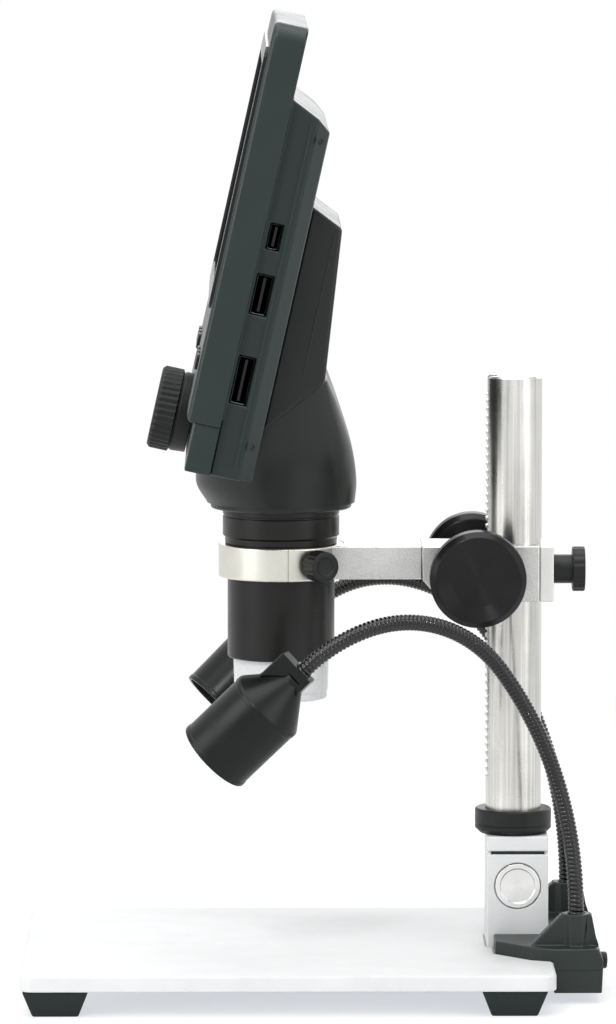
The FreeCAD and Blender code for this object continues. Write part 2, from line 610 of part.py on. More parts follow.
def v_groove(piece, radius, depth, top, length, count):
    """V-shaped grooves cut along a round grip and repeated about its axis."""
    groove = piece.pocket(piece.polygon(piece.sketch("XY_Plane", top), [
        (f"{radius} - {depth}", "0"), (f"{radius} + {depth}", f"-2 * {depth}"),
        (f"{radius} + {depth}", f"2 * {depth}"),
    ]), length)
    piece.around(groove, count)


def make_brake():
    """The brake screw behind the post, and the brass pad that it presses on the post."""
    tip = "post_radius + brake_pad_thick + 2 * brake_gap - carriage_back - end_plate_thick"
    screw = gripped_screw("brake_thumb_screw", "brake_head_radius", "brake_stem_length", "brake_head_thick", [
        ("0", tip), ("brake_screw_radius", tip),
        ("brake_screw_radius", "brake_gap"), ("brake_stem_radius", "brake_gap"),
        ("brake_stem_radius", "brake_stem_length"),
    ])
    screw.place(PLATE_REAR, "0", PINION_Z, Y_AXIS, "90")
    pad = Piece("brake_pad")
    pad.turn([
        ("0", "0"), ("brake_screw_radius", "0"), ("brake_screw_radius", "brake_pad_thick"),
        ("0", "brake_pad_thick"),
    ])
    pad.place("post_x + post_radius + brake_gap", "0", PINION_Z, Y_AXIS, "90")


def button_sides():
    """Where the buttons' middles lie across the head: three each side of the dial."""
    return [f"{sign}(button_first + button_pitch * {i})" for sign in ("-", "") for i in range(3)]


def make_front_cover():
    """The screen's housing: a rounded tray open at the back, stepped in below the screen for the dial."""
    cover = Piece("front_cover")
    cover.pad(cover.rectangle(
        cover.sketch("YZ_Plane"), f"-{COVER_HALF}", COVER_HALF, "0", COVER_HEIGHT,
    ), "cover_depth")
    doc.recompute()
    top = cover.body.Shape.BoundBox.ZMax
    cover.soften(lambda edge: runs_along(X_AXIS)(edge) and edge.BoundBox.ZMin > top - 1, "cover_corner")
    cover.soften(lambda edge: edge.BoundBox.XMax < NEAR, "cover_edge")
    cover.pad(cover.rectangle(
        cover.sketch("YZ_Plane", "chin_step"), f"-{COVER_HALF} + chin_inset", f"{COVER_HALF} - chin_inset",
        "-chin_height", "cover_wall",
    ), "cover_depth - chin_step")
    cover.pocket(screen_window(cover, "cover_depth"))
    cover.pocket(cover.rectangle(
        cover.sketch("YZ_Plane", "cover_depth"), f"-{COVER_HALF} + cover_wall", f"{COVER_HALF} - cover_wall",
        "cover_wall", f"{COVER_HEIGHT} - cover_wall",
    ), "cover_depth - cover_wall")
    cover.pocket(cover.circle(
        cover.sketch("YZ_Plane"), "0", "-dial_drop", "dial_skirt_radius + dial_clearance",
    ), "chin_step", flip=True)
    cover.pocket(cover.circle(
        cover.sketch("YZ_Plane"), "0", "-dial_drop", "dial_shaft_radius + dial_gap",
    ), flip=True)
    for side in button_sides():
        cover.pocket(button_outline(cover, side, "0", "button_gap"), "cover_depth / 2", flip=True)
    cover.on_head()


def screen_window(piece, lift, gap="0"):
    """The visible screen's outline on a plane across the head."""
    return piece.rectangle(
        piece.sketch("YZ_Plane", lift), f"-screen_width / 2 + {gap}", f"screen_width / 2 - {gap}",
        f"screen_up - screen_height / 2 + {gap}", f"screen_up + screen_height / 2 - {gap}",
    )


def button_outline(piece, side, lift, gap):
    """One button's outline, widened by a gap."""
    return piece.rectangle(
        piece.sketch("YZ_Plane", lift), f"{side} - button_length / 2 - {gap}",
        f"{side} + button_length / 2 + {gap}",
        f"button_up - button_height / 2 - {gap}", f"button_up + button_height / 2 + {gap}",
    )


def make_screen():
    """The raised bezel, the glass in its window, and the display and main board behind."""
    bezel = Piece("screen_bezel")
    bezel.pad(bezel.rectangle(
        bezel.sketch("YZ_Plane"), f"-{BEZEL_WIDTH} / 2", f"{BEZEL_WIDTH} / 2",
        f"screen_up - {BEZEL_HEIGHT} / 2", f"screen_up + {BEZEL_HEIGHT} / 2",
    ), "bezel_proud", flip=True)
    bezel.soften(runs_along(X_AXIS), "bezel_corner")
    bezel.pocket(screen_window(bezel, "0"), flip=True)
    bezel.pocket(screen_window(bezel, "0"))
    bezel.on_head()
    glass = Piece("screen_glass")
    glass.pad(screen_window(glass, "glass_sink", "glass_gap"), "glass_thick")
    glass.on_head()
    panel_width, panel_height = "(screen_width + 2 * panel_border)", "(screen_height + 2 * panel_border)"
    layers = (
        ("display_panel", panel_width, panel_height, "cover_wall + layer_gap", "panel_thick"),
        ("main_board", f"({panel_width} - 2 * board_inset)", f"({panel_height} - board_inset)",
         "cover_wall + panel_thick + 2 * layer_gap", "board_thick"),
    )
    for label, width, height, depth, thick in layers:
        layer = Piece(label)
        layer.pad(layer.rectangle(
            layer.sketch("YZ_Plane", depth), f"-{width} / 2", f"{width} / 2",
            f"screen_up - {height} / 2", f"screen_up + {height} / 2",
        ), thick)
        layer.on_head()


def make_rear_housing():
    """The back shell: a lip inside the cover, a box whose top slopes, and a bevel round its rear face."""
    shell = Piece("rear_housing")
    top = f"({COVER_HEIGHT} - rear_drop)"
    rear_top = f"({top} - rear_slope * rear_depth / rear_side_depth)"

    def section(depth, inset, height):
        return shell.rectangle(
            shell.sketch("YZ_Plane", depth), f"-{REAR_HALF} + {inset}", f"{REAR_HALF} - {inset}",
            "-chin_height", height,
        )

    waist = "cover_depth + rear_side_depth"
    shell.loft([section("cover_depth", "0", top), section(waist, "0", f"{top} - rear_slope")])
    shell.loft([
        section(waist, "0", f"{top} - rear_slope"),
        section(REAR_FACE, "rear_bevel", f"{rear_top} - rear_bevel_drop + rear_slope / 2"),
    ])
    lip = f"({COVER_HALF} - cover_wall - rear_fit)"
    shell.pad(shell.rectangle(
        shell.sketch("YZ_Plane", "cover_depth"), f"-{lip}", lip, "cover_wall + rear_fit",
        f"{COVER_HEIGHT} - cover_wall - rear_fit",
    ), "cover_wall", flip=True)
    shell.pocket(shell.rectangle(
        shell.sketch("YZ_Plane", "cover_depth + rear_side_depth - cover_wall"),
        f"-{REAR_HALF} + port_depth + cover_wall", f"{REAR_HALF} - cover_wall",
        "2 * cover_wall + rear_fit", f"{top} - rear_slope - 2 * cover_wall",
    ), "rear_side_depth")
    for _, word in PORTS:
        shell.pocket(shell.rectangle(
            shell.sketch("XZ_Plane", REAR_HALF), f"{PORT_AT} - {word}_height / 2",
            f"{PORT_AT} + {word}_height / 2",
            f"{word}_up - {word}_length / 2", f"{word}_up + {word}_length / 2",
        ), "port_depth")
    shell.on_head()


def make_socket(label, width, height, depth):
    """A metal socket that opens towards its own -Y side, with a tongue inside, and its back at local Y 0."""
    socket = Piece(label)

    def box(half_width, half_height):
        return socket.rectangle(
            socket.sketch("XZ_Plane"), f"-{half_height}", half_height, f"-{half_width}", half_width,
        )

    socket.pad(box(f"({width} / 2 - port_gap)", f"({height} / 2 - port_gap)"), depth)
    inner = socket.rectangle(
        socket.sketch("XZ_Plane", depth),
        f"-{height} / 2 + port_gap + port_shell", f"{height} / 2 - port_gap - port_shell",
        f"-{width} / 2 + port_gap + port_shell", f"{width} / 2 - port_gap - port_shell",
    )
    socket.pocket(inner, f"{depth} - port_shell")
    socket.pad(box(f"({width} / 2 - port_tongue_edge)", "(port_tongue / 2)"), f"{depth} - port_shell")
    return socket


def make_ports():
    """The three sockets in the rear housing's near side, each seated on its recess's floor."""
    cosine, sine = "cos(head_tilt * 1deg)", "sin(head_tilt * 1deg)"
    for label, word in PORTS:
        socket = make_socket(label, f"{word}_length", f"{word}_height", "(port_depth - port_sink)")
        socket.place(
            f"{HEAD_X} + {cosine} * {PORT_AT} + {sine} * {word}_up", f"port_depth - {REAR_HALF}",
            f"{HEAD_Z} + {cosine} * {word}_up - {sine} * {PORT_AT}", Y_AXIS, "head_tilt",
        )


def make_battery():
    """The flat cell inside the rear housing."""
    battery = Piece("battery_pack")
    battery.pad(battery.rectangle(
        battery.sketch("YZ_Plane", "cover_depth + rear_side_depth - cover_wall - battery_thick - layer_gap"),
        "-battery_width / 2", "battery_width / 2", "screen_up - battery_height", "screen_up",
    ), "battery_thick")
    battery.on_head()


def make_camera_housing():
    """The wedge behind the back shell that holds the camera board."""
    wedge = Piece("camera_housing")
    wedge.pad(wedge.polygon(wedge.sketch("XZ_Plane"), [
        (REAR_FACE, "core_low_front"), (f"{REAR_FACE} + core_depth_low", "core_low_rear"),
        (f"{REAR_FACE} + core_depth_top", "core_top_rear"), (REAR_FACE, "core_top_front"),
    ]), "core_width", both=True)
    wedge.on_head()
    return wedge.body


def rounded_outline(front, rear, half, corner, height):
    """A level outline of four lines and four arcs, from front to rear and half its width each way."""
    bite = corner * (1 - math.sqrt(0.5))
    corners = ((rear, -half, 1, -1), (rear, half, 1, 1), (front, half, -1, 1), (front, -half, -1, -1))
    ends, edges = [], []
    for x, y, right, far in corners:
        along_side, along_end = V(x - right * corner, y, height), V(x, y - far * corner, height)
        middle = V(x - right * bite, y - far * bite, height)
        first, last = (along_side, along_end) if right * far < 0 else (along_end, along_side)
        ends.append((first, middle, last))
    for i, (first, middle, last) in enumerate(ends):
        edges.append(Part.Arc(first, middle, last).toShape())
        edges.append(Part.LineSegment(last, ends[(i + 1) % 4][0]).toShape())
    return Part.Wire(edges)


def make_optical_housing(head, wedge, barrel):
    """The housing over the barrel: a loft from its round rim up into the wedge and the back shell."""
    x, radius, rim, foot = size("lens_x"), size("base_radius"), size("base_rim"), barrel.Shape.BoundBox.ZMax
    wide = size("core_width") / 2
    # Height above the rim, how far front and rear stand from the lens axis, half the width and the corner
    sections = (
        (0, radius, radius, radius - 0.5, radius - 1),
        (9, radius + 4.5, radius + 0.6, radius + 3, radius - 1),
        (22, radius + 2, radius - 1.2, (radius + wide) / 2, radius - 4),
        (38, radius - 6, radius - 6.2, wide - 3.5, radius - 9),
        (52, radius - 18, radius - 11.5, wide - 0.5, radius / 4),
    )
    hull = Part.makeLoft([
        rounded_outline(x - front, x + rear, half, corner, foot + rim + up)
        for up, front, rear, half, corner in sections
    ], True, True)
    hull = hull.fuse(Part.makeCylinder(radius - size("base_rim_inset"), rim, V(x, 0, foot)))
    rear_face, chin = size("cover_depth") + size("rear_depth"), size("chin_height")
    shells = Part.makeBox(rear_face, 4 * wide, size("core_top_front") + chin, V(0, -2 * wide, -chin))
    shells.Placement = head.Placement
    hull = hull.cut(shells).cut(wedge.Shape)
    shaped("optical_housing", max(hull.Solids, key=lambda solid: solid.Volume))


def make_barrel():
    """The barrel in two steps, the clear hood under it, and the lens and lamps inside."""
    upper = Piece("upper_barrel")
    foot = "upper_barrel_radius - upper_barrel_foot"
    upper.turn([
        ("0", "0"), (foot, "0"), (foot, "upper_barrel_groove"),
        ("upper_barrel_radius", "upper_barrel_groove + barrel_edge"),
        ("upper_barrel_radius", "upper_barrel_length"), ("0", "upper_barrel_length"),
    ])
    upper.place("lens_x", "0", SEAT)
    lower = Piece("lower_barrel")
    chamber = "hood_radius + running_gap"
    lower.turn([
        (chamber, "0"), ("lower_barrel_radius - barrel_edge", "0"), ("lower_barrel_radius", "barrel_edge"),
        ("lower_barrel_radius", "lower_barrel_length"), ("0", "lower_barrel_length"),
        ("0", "barrel_chamber"), (chamber, "barrel_chamber"),
    ])
    lower.place("lens_x", "0", BARREL_BOTTOM)
    hood = Piece("lens_hood")
    hood.turn([
        ("hood_radius - hood_taper - hood_wall", "0"), ("hood_radius - hood_taper", "0"),
        ("hood_radius", "hood_length"),
        ("hood_radius", "hood_length + hood_seat"), ("hood_radius - hood_wall", "hood_length + hood_seat"),
        ("hood_radius - hood_wall", "hood_length"),
    ])
    hood.place("lens_x", "0", f"{BARREL_BOTTOM} - hood_length")
    cell_at = f"{BARREL_BOTTOM} + barrel_chamber - cell_length"
    cell = Piece("lens_cell")
    cell.turn([
        ("lens_radius - cell_lip", "0"), ("cell_radius", "0"), ("cell_radius", "cell_length"),
        ("lens_radius", "cell_length"), ("lens_radius", "cell_lip"), ("lens_radius - cell_lip", "cell_lip"),
    ])
    cell.place("lens_x", "0", cell_at)
    lens = Piece("objective_lens")
    lens.turn([
        ("0", "cell_lip"), ("lens_radius", "cell_lip"), ("lens_radius", "cell_lip + lens_thick"),
        ("0", "cell_lip + lens_thick"),
    ])
    lens.place("lens_x", "0", cell_at)
    ring = Piece("led_ring")
    inner = "cell_radius + running_gap"
    ring.turn([
        (inner, "0"), ("led_ring_radius", "0"), ("led_ring_radius", "led_ring_thick"),
        (inner, "led_ring_thick"),
    ])
    spot = ring.circle(ring.sketch("XY_Plane"), "led_circle", "0", "led_radius")
    led = ring.pad(spot, "led_proud", flip=True)
    ring.around(led, "led_count")
    ring.place("lens_x", "0", f"{BARREL_BOTTOM} + hood_seat + led_ring_above_hood")
    return upper.body


def make_dial():
    """The ribbed dial below the screen: cap, skirt and shaft in one, turned about the screen's normal."""
    dial = Piece("focus_dial")
    skirt_top, cap_top = "dial_gap + dial_skirt", "(dial_gap + dial_skirt + dial_cap)"
    dial.turn([
        ("0", "-dial_shaft_length"), ("dial_shaft_radius", "-dial_shaft_length"),
        ("dial_shaft_radius", "dial_gap"),
        ("dial_skirt_radius", "dial_gap"), ("dial_skirt_radius", skirt_top),
        ("dial_radius", f"{skirt_top} + dial_step"), ("dial_radius", f"{cap_top} - dial_rim"),
        ("dial_radius - dial_rim", cap_top), ("dial_dish_radius", f"{cap_top} - dial_dish"),
        ("0", f"{cap_top} - dial_dish"),
    ])
    v_groove(dial, "dial_radius", "dial_rib_depth", cap_top, "dial_cap", "dial_ribs")
    along_x = "chin_step * cos(head_tilt * 1deg) - dial_drop * sin(head_tilt * 1deg)"
    along_z = "dial_drop * cos(head_tilt * 1deg) + chin_step * sin(head_tilt * 1deg)"
    dial.place(f"{HEAD_X} + {along_x}", "0", f"{HEAD_Z} - ({along_z})", Y_AXIS, "head_tilt - 90")


def make_buttons():
    """Six push buttons in the cover, three each side of the dial."""
    for number, side in enumerate(button_sides(), 1):
        button = Piece(f"button_{number}")
        button.pad(button_outline(button, side, "-button_proud", "0"), "button_proud + button_depth")
        button.on_head()


def make_bracket():
    """The lamp bracket: a tray round the post foot, a box behind the base plate and two winged sockets."""
    bracket = Piece("lamp_bracket")
    over = f"{TABLE_TOP} + bracket_over"
    bracket.pad(bracket.polygon(bracket.sketch("XZ_Plane"), [
        (BRACKET_FRONT_WALL, "bracket_lift"), (f"{BRACKET_BACK} - bracket_draft", "bracket_lift"),
        (BRACKET_BACK, TABLE_TOP), (f"{BRACKET_BACK} - bracket_roof", over), (BRACKET_FRONT_WALL, over),
    ]), "2 * bracket_half", both=True)
    bracket.pad(bracket.polygon(bracket.sketch("XY_Plane", SEAT_FLOOR), [
        ("bracket_front", "-bracket_front_half"), ("bracket_mid", "-bracket_mid_half"),
        (BRACKET_FRONT_WALL, "-bracket_half"), (BRACKET_FRONT_WALL, "bracket_half"),
        ("bracket_mid", "bracket_mid_half"), ("bracket_front", "bracket_front_half"),
    ]), "seat_depth + bracket_over")
    bracket.pocket(bracket.rectangle(
        bracket.sketch("XY_Plane", over), "bracket_front - bracket_over",
        f"{BLOCK_X} + block_width / 2 + bracket_gap",
        "-block_depth / 2 - bracket_gap", "block_depth / 2 + bracket_gap",
    ), "seat_depth + bracket_over")
    for sign in ("-", ""):
        side = f"{sign}socket_side"
        wing_side = "socket_side" if sign else "-socket_side"
        wing_top = f"{SOCKET_TOP} - wing_drop"
        bracket.pad(bracket.polygon(bracket.sketch("XZ_Plane", wing_side), [
            ("wing_front", TABLE_TOP), (f"{BRACKET_BACK} - bracket_roof / 2", TABLE_TOP),
            (f"{SOCKET_X} + socket_radius", wing_top), (f"{SOCKET_X} - socket_radius", wing_top),
            ("wing_front", over),
        ]), "wing_thick", both=True)
        bracket.pad(bracket.polygon(bracket.sketch("XY_Plane", TABLE_TOP), [
            (f"{SOCKET_X} + socket_radius * cos({angle}deg)", f"{side} + socket_radius * sin({angle}deg)")
            for angle in (22.5 + 45 * corner for corner in range(8))
        ]), "socket_rise")
        bracket.pocket(bracket.circle(
            bracket.sketch("XY_Plane", SOCKET_TOP), SOCKET_X, side, "socket_bore",
        ), "socket_depth")
    bracket.pocket(bracket.circle(
        bracket.sketch("YZ_Plane", BRACKET_BACK), "-switch_side", "switch_height",
        "switch_radius + button_gap",
    ), "switch_depth + switch_room")
    bracket.pocket(bracket.rectangle(
        bracket.sketch("YZ_Plane", BRACKET_BACK), "inlet_side - inlet_width / 2",
        "inlet_side + inlet_width / 2",
        "switch_height - inlet_height / 2", "switch_height + inlet_height / 2",
    ), "inlet_depth")


def make_bracket_fittings():
    """The lamp switch, a domed push button, and the power socket beside it."""
    switch = Piece("lamp_switch")
    switch.turn([
        ("0", "-switch_depth"), ("switch_radius", "-switch_depth"),
        ("switch_radius", "switch_proud - switch_dome"),
        ("switch_radius - switch_dome", "switch_proud"), ("0", "switch_proud"),
    ])
    switch.place(BRACKET_BACK, "-switch_side", "switch_height", Y_AXIS, "90")
    socket = Piece("power_socket")

    def outline(inset, lift=None):
        return socket.rectangle(
            socket.sketch("YZ_Plane", lift), f"-inlet_width / 2 + {inset}", f"inlet_width / 2 - {inset}",
            f"-inlet_height / 2 + {inset}", f"inlet_height / 2 - {inset}",
        )

    depth = "(inlet_depth - port_sink)"
    socket.pad(outline("port_gap"), depth)
    socket.pocket(outline("(port_gap + port_shell)", depth), f"{depth} - port_shell")
    socket.pad(socket.rectangle(
        socket.sketch("YZ_Plane"), "port_tongue_edge - inlet_width / 2", "inlet_width / 2 - port_tongue_edge",
        "-port_shell / 2", "port_shell / 2",
    ), f"{depth} - port_shell")
    socket.place(f"{BRACKET_BACK} - inlet_depth", "inlet_side", "switch_height")


class Path:
    """A line drawn bend by bend, each an arc that starts along the last direction."""

    def __init__(self, point, direction):
        self.point, self.direction, self.edges = point, direction, []
        self.length = 0

    def straight(self, length):
        """Carries the line straight on."""
        end = self.point + self.direction * length
        self.edges.append(Part.LineSegment(self.point, end).toShape())
        self.point = end
        self.length += length

    def bend_to(self, target, radius):
        """Bends at one radius until the line runs along the target direction."""
        turn = self.direction.getAngle(target)
        inward = (target - self.direction * self.direction.dot(target)).normalize()
        centre = self.point + inward * radius

        def at(angle):
            return centre - inward * (radius * math.cos(angle)) + self.direction * (radius * math.sin(angle))

        middle, end = at(turn / 2), at(turn)
        self.edges.append(Part.Arc(self.point, middle, end).toShape())
        self.point, self.direction = end, target
        self.length += radius * turn


def heading(turn, climb, side):
    """A unit direction that turns from -X towards one side by one angle and climbs by another."""
    turn, climb = math.radians(turn), math.radians(climb)
    return V(-math.cos(turn) * math.cos(climb), side * math.sin(turn) * math.cos(climb), math.sin(climb))


def neck_path(side, socket):
    """The gooseneck's line: up out of its socket, over in a long arch, then down and in to the lamp."""
    floor = socket.z - size("socket_depth") + size("neck_end_gap")
    path = Path(V(socket.x, side * size("socket_side"), floor), V(0, 0, 1))
    path.straight(socket.z - floor + size("neck_lead"))
    out, rise = size("neck_heading"), 90 - size("neck_rise_turn")
    path.bend_to(heading(out, rise, side), size("neck_rise_radius"))
    path.bend_to(heading(out, rise - size("neck_arch_turn"), side), size("neck_arch_radius"))
    path.bend_to(heading(-size("lamp_heading"), -size("lamp_pitch"), side), size("neck_tip_radius"))
    path.straight(size("neck_tail"))
    return path


def make_lamps():
    """Both lamps: a gooseneck, its saddle on the shade's cone, the shade, and the board and lens in it."""
    back = size("plate_left") + size("plate_length") + size("bracket_gap") + size("bracket_thick")
    top = size("foot_height") + size("plate_thick") + size("socket_rise")
    socket = V(back - size("socket_back"), 0, top)
    for name, side in (("left", -1), ("right", 1)):
        path = neck_path(side, socket)
        start = path.edges[0].Vertexes[0].Point
        section = Part.Wire(Part.Circle(start, Z_AXIS, size("neck_radius")).toShape())
        neck = Part.Wire(path.edges).makePipeShell([section], True, False)
        shaped(f"gooseneck_{name}", neck)
        tube = math.pi * size("neck_radius") ** 2 * path.length
        print(f"gooseneck_{name}: {path.length:.1f} mm long, {neck.Volume:.0f} of {tube:.0f} mm3")
        spot = FreeCAD.Placement(path.point, level_rotation(path.direction))
        for piece in lamp_pieces(name):
            piece.body.Placement = spot


def level_rotation(direction):
    """The rotation that sends local Z along a direction and keeps local Y level."""
    level = Z_AXIS.cross(direction).normalize()
    return FreeCAD.Rotation(level.cross(direction), level, direction, "ZYX")


def lamp_pieces(name):
    """One lamp's shade, saddle, board and lens, drawn along local Z from the neck's end."""
    inside = "lamp_radius - lamp_wall"
    board_at = "(lamp_length - lamp_board_back)"
    shade = Piece(f"lamp_shade_{name}")
    shade.turn([
        ("0", "0"), ("lamp_neck_radius", "0"), ("lamp_neck_radius", "lamp_neck_length"),
        ("lamp_radius", "lamp_cone"),
        ("lamp_radius", "lamp_length - lamp_edge"), ("lamp_radius - lamp_edge", "lamp_length"),
        (inside, "lamp_length"), (inside, board_at), ("0", board_at),
    ])
    saddle = Piece(f"neck_sleeve_{name}")
    saddle.pad(saddle.rectangle(
        saddle.sketch("XY_Plane", "-saddle_back"), "-saddle_height", "saddle_height / 2",
        "-saddle_width / 2", "saddle_width / 2",
    ), "saddle_length")
    cut_cone(saddle)
    saddle.pocket(saddle.circle(
        saddle.sketch("XY_Plane", "-saddle_back"), "0", "0", "neck_radius",
    ), "saddle_back", flip=True)
    board = Piece(f"lamp_board_{name}")
    board_top = f"{board_at} + lamp_board_thick"
    board.turn([
        ("0", board_at), (f"{inside} - bracket_gap", board_at), (f"{inside} - bracket_gap", board_top),
        ("lamp_led_radius", board_top), ("lamp_led_radius", f"{board_top} + lamp_led_proud"),
        ("0", f"{board_top} + lamp_led_proud"),
    ])
    lens = Piece(f"lamp_lens_{name}")
    lens_top = "lamp_length - lamp_lens_inset"
    lens.turn([
        ("0", f"{lens_top} - lamp_lens_thick"), (inside, f"{lens_top} - lamp_lens_thick"),
        (inside, lens_top), ("0", lens_top),
    ])
    return shade, saddle, board, lens


def cut_cone(saddle):
    """Hollows the saddle to sit on the shade's cone."""
    cone = saddle.polygon(saddle.sketch("XZ_Plane"), [
        ("0", "0"), ("lamp_neck_radius", "0"), ("lamp_neck_radius", "lamp_neck_length"),
        ("lamp_radius", "lamp_cone"),
        ("0", "lamp_cone"),
    ])
    groove = saddle.add("PartDesign::Groove")
    groove.Profile = cone
    groove.ReferenceAxis = (cone, ["V_Axis"])
    groove.Angle = 360


def check_and_write():
    """Stops if anything failed or isn't a closed solid, then writes every sub-part."""
    doc.recompute()
    for item in doc.Objects:
        if "Invalid" in item.State or "Error" in item.State:
            raise RuntimeError(f"{item.Label} failed: {item.State}")
    for item in sub_parts:
        if item.Shape.isNull() or not item.Shape.isValid() or not item.Shape.Solids:
            raise RuntimeError(f"{item.Label} has no valid solid")
    os.makedirs("parts", exist_ok=True)
    for item in sub_parts:
        item.Shape.exportStep(f"parts/{item.Label}.step")
    print(f"{len(sub_parts)} sub-parts written")


def build():
    """Makes the instrument from the table up."""
    fill_sheet()
    make_base_plate()
    make_feet()
    make_post_foot()
    make_collar()
    make_post()
    make_rack()
    make_focus_drive()
    make_carriage()
    make_arm()
    make_ring()
    make_brake()
    make_front_cover()
    make_screen()
    make_rear_housing()
    make_ports()
    make_battery()
    wedge = make_camera_housing()
    barrel = make_barrel()
    make_dial()
    make_buttons()
    doc.recompute()
    make_optical_housing(doc.getObject("front_cover"), wedge, barrel)
    make_bracket()
    make_bracket_fittings()
    make_lamps()
    check_and_write()


build()
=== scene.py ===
import json
import logging
import math
from collections.abc import Callable, Sequence
from dataclasses import dataclass
from enum import Enum

import bmesh
import bpy
import numpy as np
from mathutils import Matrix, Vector


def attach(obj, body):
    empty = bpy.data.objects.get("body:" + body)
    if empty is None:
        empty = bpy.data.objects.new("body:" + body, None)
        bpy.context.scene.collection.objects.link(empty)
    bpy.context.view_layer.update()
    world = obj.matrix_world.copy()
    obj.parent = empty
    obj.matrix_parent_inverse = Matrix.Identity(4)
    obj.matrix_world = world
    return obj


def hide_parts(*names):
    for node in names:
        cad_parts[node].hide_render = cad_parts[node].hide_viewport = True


# Looks of a seven-inch LCD bench microscope on a rack-post stand with two gooseneck lamps.
# Shapes are worked out in millimetres and put into meshes in metres, in the frame's own axes:
# +X from the lens to the post, +Y away from the viewer and +Z up from the table.

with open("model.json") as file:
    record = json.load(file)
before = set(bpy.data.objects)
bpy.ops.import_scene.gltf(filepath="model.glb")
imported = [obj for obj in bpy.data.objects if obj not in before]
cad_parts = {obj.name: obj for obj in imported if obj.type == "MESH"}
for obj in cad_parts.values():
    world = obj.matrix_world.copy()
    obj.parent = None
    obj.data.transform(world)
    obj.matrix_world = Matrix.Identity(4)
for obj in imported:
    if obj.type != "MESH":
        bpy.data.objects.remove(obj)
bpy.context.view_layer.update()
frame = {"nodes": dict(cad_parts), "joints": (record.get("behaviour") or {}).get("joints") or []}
MM = 0.001
FULL_TURN = 2 * math.pi
log = logging.getLogger("microscope")

Array = np.ndarray
Triple = tuple[float, float, float]
NodeTree = bpy.types.NodeTree
NodeSocket = bpy.types.NodeSocket

# A corner's arc takes no more than this share of a side. Half angles in radians beyond the other
# two are those of a line that folds back or runs straight on, and get no arc.
MOST_OF_SIDE = 0.49
FOLDED_HALF = 0.02
STRAIGHT_HALF = 1.56

# Points on a prism's rounded rim, and the least radius of its upright corners in millimetres.
RIM_POINTS = 5
LEAST_CORNER = 0.01

# Room in millimetres round a piece that another one goes round.
CLEARANCE = 0.05

# An axis with less than this share of its length on the level counts as upright.
LEAST_LEVEL = 0.1

# The power of a grip's wave, which makes its grooves narrower than its ridges.
GROOVE_POWER = 1.6

# The middle of a noise texture's values, and how much detail broad and fine noises have.
NOISE_LOW = 0.3
NOISE_HIGH = 0.7
BROAD_DETAIL = 3.0
FINE_DETAIL = 2.0

# A finish's darkest and lightest colours differ from its own by this share.
COLOUR_SPREAD = 0.5

# How far brushed marks are drawn out: nought leaves even grain and one makes endless lines.
BRUSH_STRETCH = 0.985

# Distances in metres under which points are one, in drawn skins and in CAD meshes.
SAME_POINT = 2e-7
SAME_CAD_POINT = 1e-6

# CAD faces whose directions differ by less than this angle in degrees are joined into one.
FLAT_ANGLE = 0.5
BEVEL_STEPS = 3


class Side(Enum):
    """Which side of the middle plane a piece stands on, seen from the camera."""

    NEAR = -1
    FAR = 1

    @property
    def word(self) -> str:
        """The side's word in the frame's node names."""
        return "left" if self is Side.NEAR else "right"


class Pattern(Enum):
    """How a finish's fine marks run over the surface."""

    GRAIN = "grain"
    BRUSHED = "brushed"
    TURNED = "turned"


@dataclass(frozen=True)
class Spot:
    """A place to draw in: an origin in millimetres and the directions of its side and up axes."""

    origin: Triple = (0.0, 0.0, 0.0)
    up: Triple = (0.0, 0.0, 1.0)
    side: Triple = (0.0, 1.0, 0.0)

    def axes(self) -> Array:
        """The unit vectors across, side and up, one a row."""
        up = np.array(self.up) / np.linalg.norm(self.up)
        side = np.array(self.side) / np.linalg.norm(self.side)
        return np.stack([np.cross(side, up), side, up])

    def place(self, points: Array) -> Array:
        """Points of this spot in the frame's axes: the origin plus each axis times its coordinate."""
        return np.array(self.origin) + points @ self.axes()

    def span(self, *nodes: str) -> tuple[Array, Array]:
        """Finds how far CAD nodes reach along this spot's axes.

        Args:
            nodes: Names of CAD nodes.

        Returns:
            The lowest and highest coordinates, in millimetres from the origin.
        """
        local = (np.concatenate([node_points(node) for node in nodes]) - self.origin) @ self.axes().T
        return local.min(0), local.max(0)


@dataclass
class Skin:
    """A part of a mesh: points in millimetres and the faces between them."""

    points: Array
    faces: list[list[int]]

    def moved(self, offset: Sequence[float]) -> "Skin":
        """The same faces with every point shifted by an offset."""
        return Skin(self.points + np.array(offset), self.faces)


def node_points(node: str) -> Array:
    """Reads a CAD node's vertices.

    Args:
        node: The node's name in the frame.

    Returns:
        An array of points in millimetres.
    """
    vertices = frame["nodes"][node].data.vertices
    flat = np.empty(len(vertices) * 3)
    vertices.foreach_get("co", flat)
    return flat.reshape(-1, 3) / MM


def facing(origin: Triple, axis: Triple) -> Spot:
    """A spot whose up axis is the given one, and whose side axis is level or along Y."""
    level = np.cross((0.0, 0.0, 1.0), axis)
    side = level if np.linalg.norm(level) > LEAST_LEVEL else np.array((0.0, 1.0, 0.0))
    return Spot(origin, axis, tuple(side))


